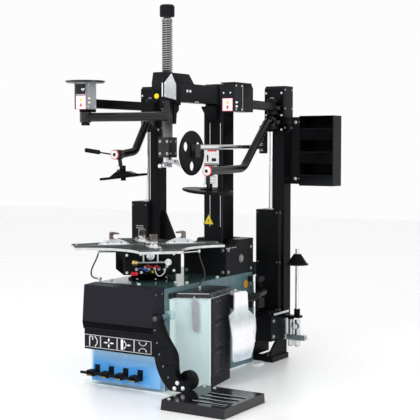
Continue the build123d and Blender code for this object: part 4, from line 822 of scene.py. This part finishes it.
# ---------------------------------------------------------------- cabinet, covers and side box
CABINET_TOP, CABINET_RIGHT = high("cabinet").z, high("cabinet").x
screws("cabinet_top_screws", "root", NYLON, [
    (Vector((x, y, CABINET_TOP)), UP, 0.0085) for x, y in
    ((0.106, -0.227), (0.272, -0.040), (0.216, -0.060), (-0.128, -0.150), (-0.128, 0.240), (0.282, 0.240))])
screws("cabinet_side_screws", "root", BOLT, [
    (Vector((CABINET_RIGHT, y, z)), RIGHT, 0.006) for y in (-0.270, 0.580) for z in (0.06, 0.26, 0.48)])
screws("cabinet_left_screws", "root", BOLT, [
    (Vector((low("cabinet").x, y, z)), LEFT, 0.006) for y in (-0.270, 0.155, 0.380) for z in (0.06, 0.48)])
plates("cabinet_side_door", "root", TEAL, [
    (Vector((low("cabinet").x, 0.045, 0.27)), LEFT, rectangle(0.56, 0.40, 0.012), 0.0022)])
turned("cabinet_side_sticker", "root", ORANGE, [
    (Vector((CABINET_RIGHT, 0.512, 0.452)), RIGHT, [(0, 0), (0, 0.022), (0.0008, 0.0215), (0.0008, 0)])], count=36)
turned("cabinet_side_plug", "root", NYLON, [
    (Vector((CABINET_RIGHT, 0.566, 0.455)), RIGHT, [(0, 0), (0, 0.012), (0.006, 0.012), (0.009, 0.008),
                                                    (0.009, 0)])])
COVER_RIGHT = high("front_cover").x
plates("front_cover_lower_band", "root", RUBBER, [
    (Vector(((low("front_cover").x + COVER_RIGHT) / 2, low("front_cover").y + 0.0075, 0.3035)), FRONT,
     rectangle(0.418, 0.006, 0.001), 0.0016)])
screws("front_cover_screws", "root", SPRING, [
    (Vector((COVER_RIGHT, y, z)), RIGHT, 0.0045) for y in (-0.315, -0.370) for z in (0.335, 0.495)])
screws("pedal_panel_screws", "root", ZINC, [
    (Vector((x, -0.319, 0.172)), FRONT, 0.004) for x in (-0.104, 0.094, 0.292)])

# the side box's two upright faces, each from the corner where its measures start
BOX_START, BOX_RUN, BOX_OUT = mm(303, -196, 0), Vector((0.9043, 0.4269, 0)), Vector((0.4269, -0.9043, 0))
PAD_START, PAD_RUN, PAD_OUT = mm(464, -120, 0), Vector((-0.1503, 0.9886, 0)), Vector((0.9886, 0.1503, 0))


def on_box(along, up):
    """A point on the side box's front, in millimetres from where it meets the cabinet."""
    return BOX_START + (BOX_RUN * along + UP * up) / 1000


def on_pads(along, up, out=0.0):
    """A point on or off the side box's padded face, in millimetres from its front corner."""
    return PAD_START + (PAD_RUN * along + UP * up + PAD_OUT * out) / 1000


# painted highlight: a thin silver strip along the top edge of the side box's black cap stands in for the glint on its
# chamfer
plates("side_cap_painted_highlight", "root", SILVER, [
    (mm(391, -162, 484), (0.4147, -0.910, 0), rectangle(0.160, 0.0028, 0.001), 0.0012)])
screws("side_box_screws", "root", ZINC, [
    (on_box(along, up), BOX_OUT, 0.0042) for along in (14, 164) for up in (40, 440)])
screws("pad_screws", "root", CAST, [
    (on_pads(along, up, 12), PAD_OUT, 0.005) for along in (50, 88) for up in (90, 178, 218, 320, 360, 438)])
plates("side_box_skirt", "root", BLACK, [
    (on_pads(126, 39.5), PAD_OUT, rectangle(0.243, 0.056, 0.002), 0.004)])

# ---------------------------------------------------------------- bead breaker
bolts("blade_hub_bolts", "breaker_blade", BOLT, [
    (mm(476, 96, 478), UP, 0.010, 0.008), (mm(476, 96, 362), DOWN, 0.010, 0.008)])
bolts("breaker_pivot_bolts", "breaker_arm", ZINC, [(mm(345, 560, 480), UP, 0.012, 0.009)])
turned("breaker_handle_sleeve", "breaker_arm", CHROME, [
    (mm(476, 296, foot), UP, [(0, 0.0061), (0.001, 0.0068), (length - 0.001, 0.0068), (length, 0.0061)])
    for foot, length in ((276, 0.122), (442, 0.096))])
grip = [(0, 0.0088), (0.001, 0.0108)]
for rib in range(7):
    grip += [(rib * 0.008 + up, radius) for up, radius in (
        (0.004, 0.0112), (0.006, 0.0102), (0.009, 0.0102), (0.011, 0.0112))]
grip += [(0.064, 0.0108), (0.0665, 0.007), (0.067, 0)]
turned("breaker_handle_grip", "breaker_arm", RUBBER, [(mm(476, 296, 540), UP, grip)])

# ---------------------------------------------------------------- pedals and wheel lift
PEDALS_X = (-0.086, 0.003, 0.092, 0.181)
for number, centre in enumerate(PEDALS_X, start=1):
    node = f"pedal_{number}"
    plates(f"{node}_tread", node, RUBBER, [
        (Vector((centre, y, 0.086)), UP, rectangle(0.034, 0.0042, 0.0012), 0.0022)
        for y in (-0.386, -0.3785, -0.371, -0.3635, -0.356)])
    # painted reflection: a thin brass-coloured strip on each pedal's front stands in for a yellow-green sheen
    plates(f"{node}_painted_sheen_strip", node, BRASS, [
        (Vector((centre, low(node).y, 0.0635)), FRONT, rectangle(0.030, 0.0035, 0.001), 0.0007)])

LIFT_FRONT = low("lift_arm").y
screws("lift_arm_screws", "wheel_lift", BOLT, [
    (Vector((x, LIFT_FRONT, z)), FRONT, 0.0042) for x, z in
    ((0.324, 0.330), (0.336, 0.270), (0.350, 0.215), (0.372, 0.160), (0.402, 0.110))])
bolts("lift_arm_bolts", "wheel_lift", ZINC, [
    (Vector((x, LIFT_FRONT, z)), FRONT, 0.0078, 0.006) for x, z in
    ((0.452, 0.088), (0.484, 0.066), (0.436, 0.060))])
bolts("lift_pivot_bolt", "wheel_lift", CAST, [(Vector((0.324, LIFT_FRONT, 0.385)), FRONT, 0.0095, 0.007)])
turned("lift_roller_tyre", "wheel_lift", RUBBER, [
    (mm(478, -317, 94), BACK, [(-0.034, 0.0442), (-0.034, 0.0462), (-0.031, 0.0476), (-0.005, 0.0476),
                               (-0.002, 0.0462), (0.0005, 0.040), (0.0005, 0.018), (0.004, 0.016), (0.004, 0)])],
    count=48)
PLATFORM_TOP = high("lift_platform").z
# painted light: thin silver strips along the platform's slots stand in for the bright floor seen through them
plates("platform_slot_painted_light", "wheel_lift", SILVER, [
    (Vector((0.697, -0.3265 - 0.0576 * row, PLATFORM_TOP)), UP, rectangle(0.190, 0.0042, 0.001), 0.0012)
    for row in range(4)])
bolts("platform_bolts", "wheel_lift", ZINC, [
    (Vector((x, y, PLATFORM_TOP)), UP, 0.0065, 0.005) for x, y in ((0.500, -0.235), (0.560, -0.235), (0.500, -0.540))])

# ---------------------------------------------------------------- press arms, disc and cone
disc_middle = Vector((low("wheel_disc").x, -0.022, 1.179))
bolts("wheel_disc_bolt", "wheel_disc", ZINC, [(disc_middle, LEFT, 0.011, 0.008)])
turned("wheel_disc_hub", "wheel_disc", BLACK, [
    (disc_middle, LEFT, [(0, 0.0), (0, 0.030), (0.004, 0.028), (0.006, 0.020), (0.006, 0)])], count=40)
turned("press_disc_pad", "right_press_disc", RUBBER, [
    (mm(398.9, -40, 984.1), (-0.09, 0, -1), [(-0.002, 0.118), (0.002, 0.118), (0.0045, 0.112), (0.0045, 0.0)])],
    count=64)
bolts("press_pin_ends", "right_press_arm", ZINC, [(mm(400, -68, 1014), FRONT, 0.0075, 0.005)])
bolts("foot_pin_ends", "left_press_arm", ZINC, [(mm(-239, 64, 1097), FRONT, 0.0075, 0.005)])
turned("cone_steps", "centring_cone", BLACK, [
    (mm(500, 745, 549), UP, [(0.0002, 0.055), (0.0002, 0.0625), (0.004, 0.0635), (0.008, 0.0608), (0.009, 0.055)])],
    count=56)

# ---------------------------------------------------------------- air unit at the back
turned("air_bowls", "root", NYLON, [
    (mm(x, 767, 121), DOWN, [(0.002, 0.0162), (0.004, 0.0176), (0.030, 0.0172), (0.036, 0.013), (0.038, 0.006),
                             (0.043, 0.005), (0.043, 0)]) for x in (450, 492)])
turned("air_gauge", "root", BLACK, [
    (mm(492, 751, 200), FRONT, [(0, 0), (0, 0.018), (0.012, 0.018), (0.0135, 0.0165), (0.011, 0.0158), (0.011, 0)])])
turned("air_gauge_dial", "root", WHITE, [
    (mm(492, 751, 200), FRONT, [(0.010, 0), (0.010, 0.0155), (0.0117, 0.0155), (0.0117, 0)])])
plates("air_gauge_needle", "root", RED, [
    (mm(492, 739.5, 200), FRONT, [(-0.001, -0.003), (0.001, -0.003), (0.0005, 0.012), (-0.0005, 0.012)], 0.0006)])
turned("regulator_knob", "root", RUBBER, [
    (mm(450, 767, 235), UP, [(0, 0.0), (0, 0.0185), (0.003, 0.0192), (0.020, 0.0186), (0.023, 0.016),
                             (0.023, 0)], 12)])


# ---------------------------------------------------------------- studio
set_camera()
set_studio()
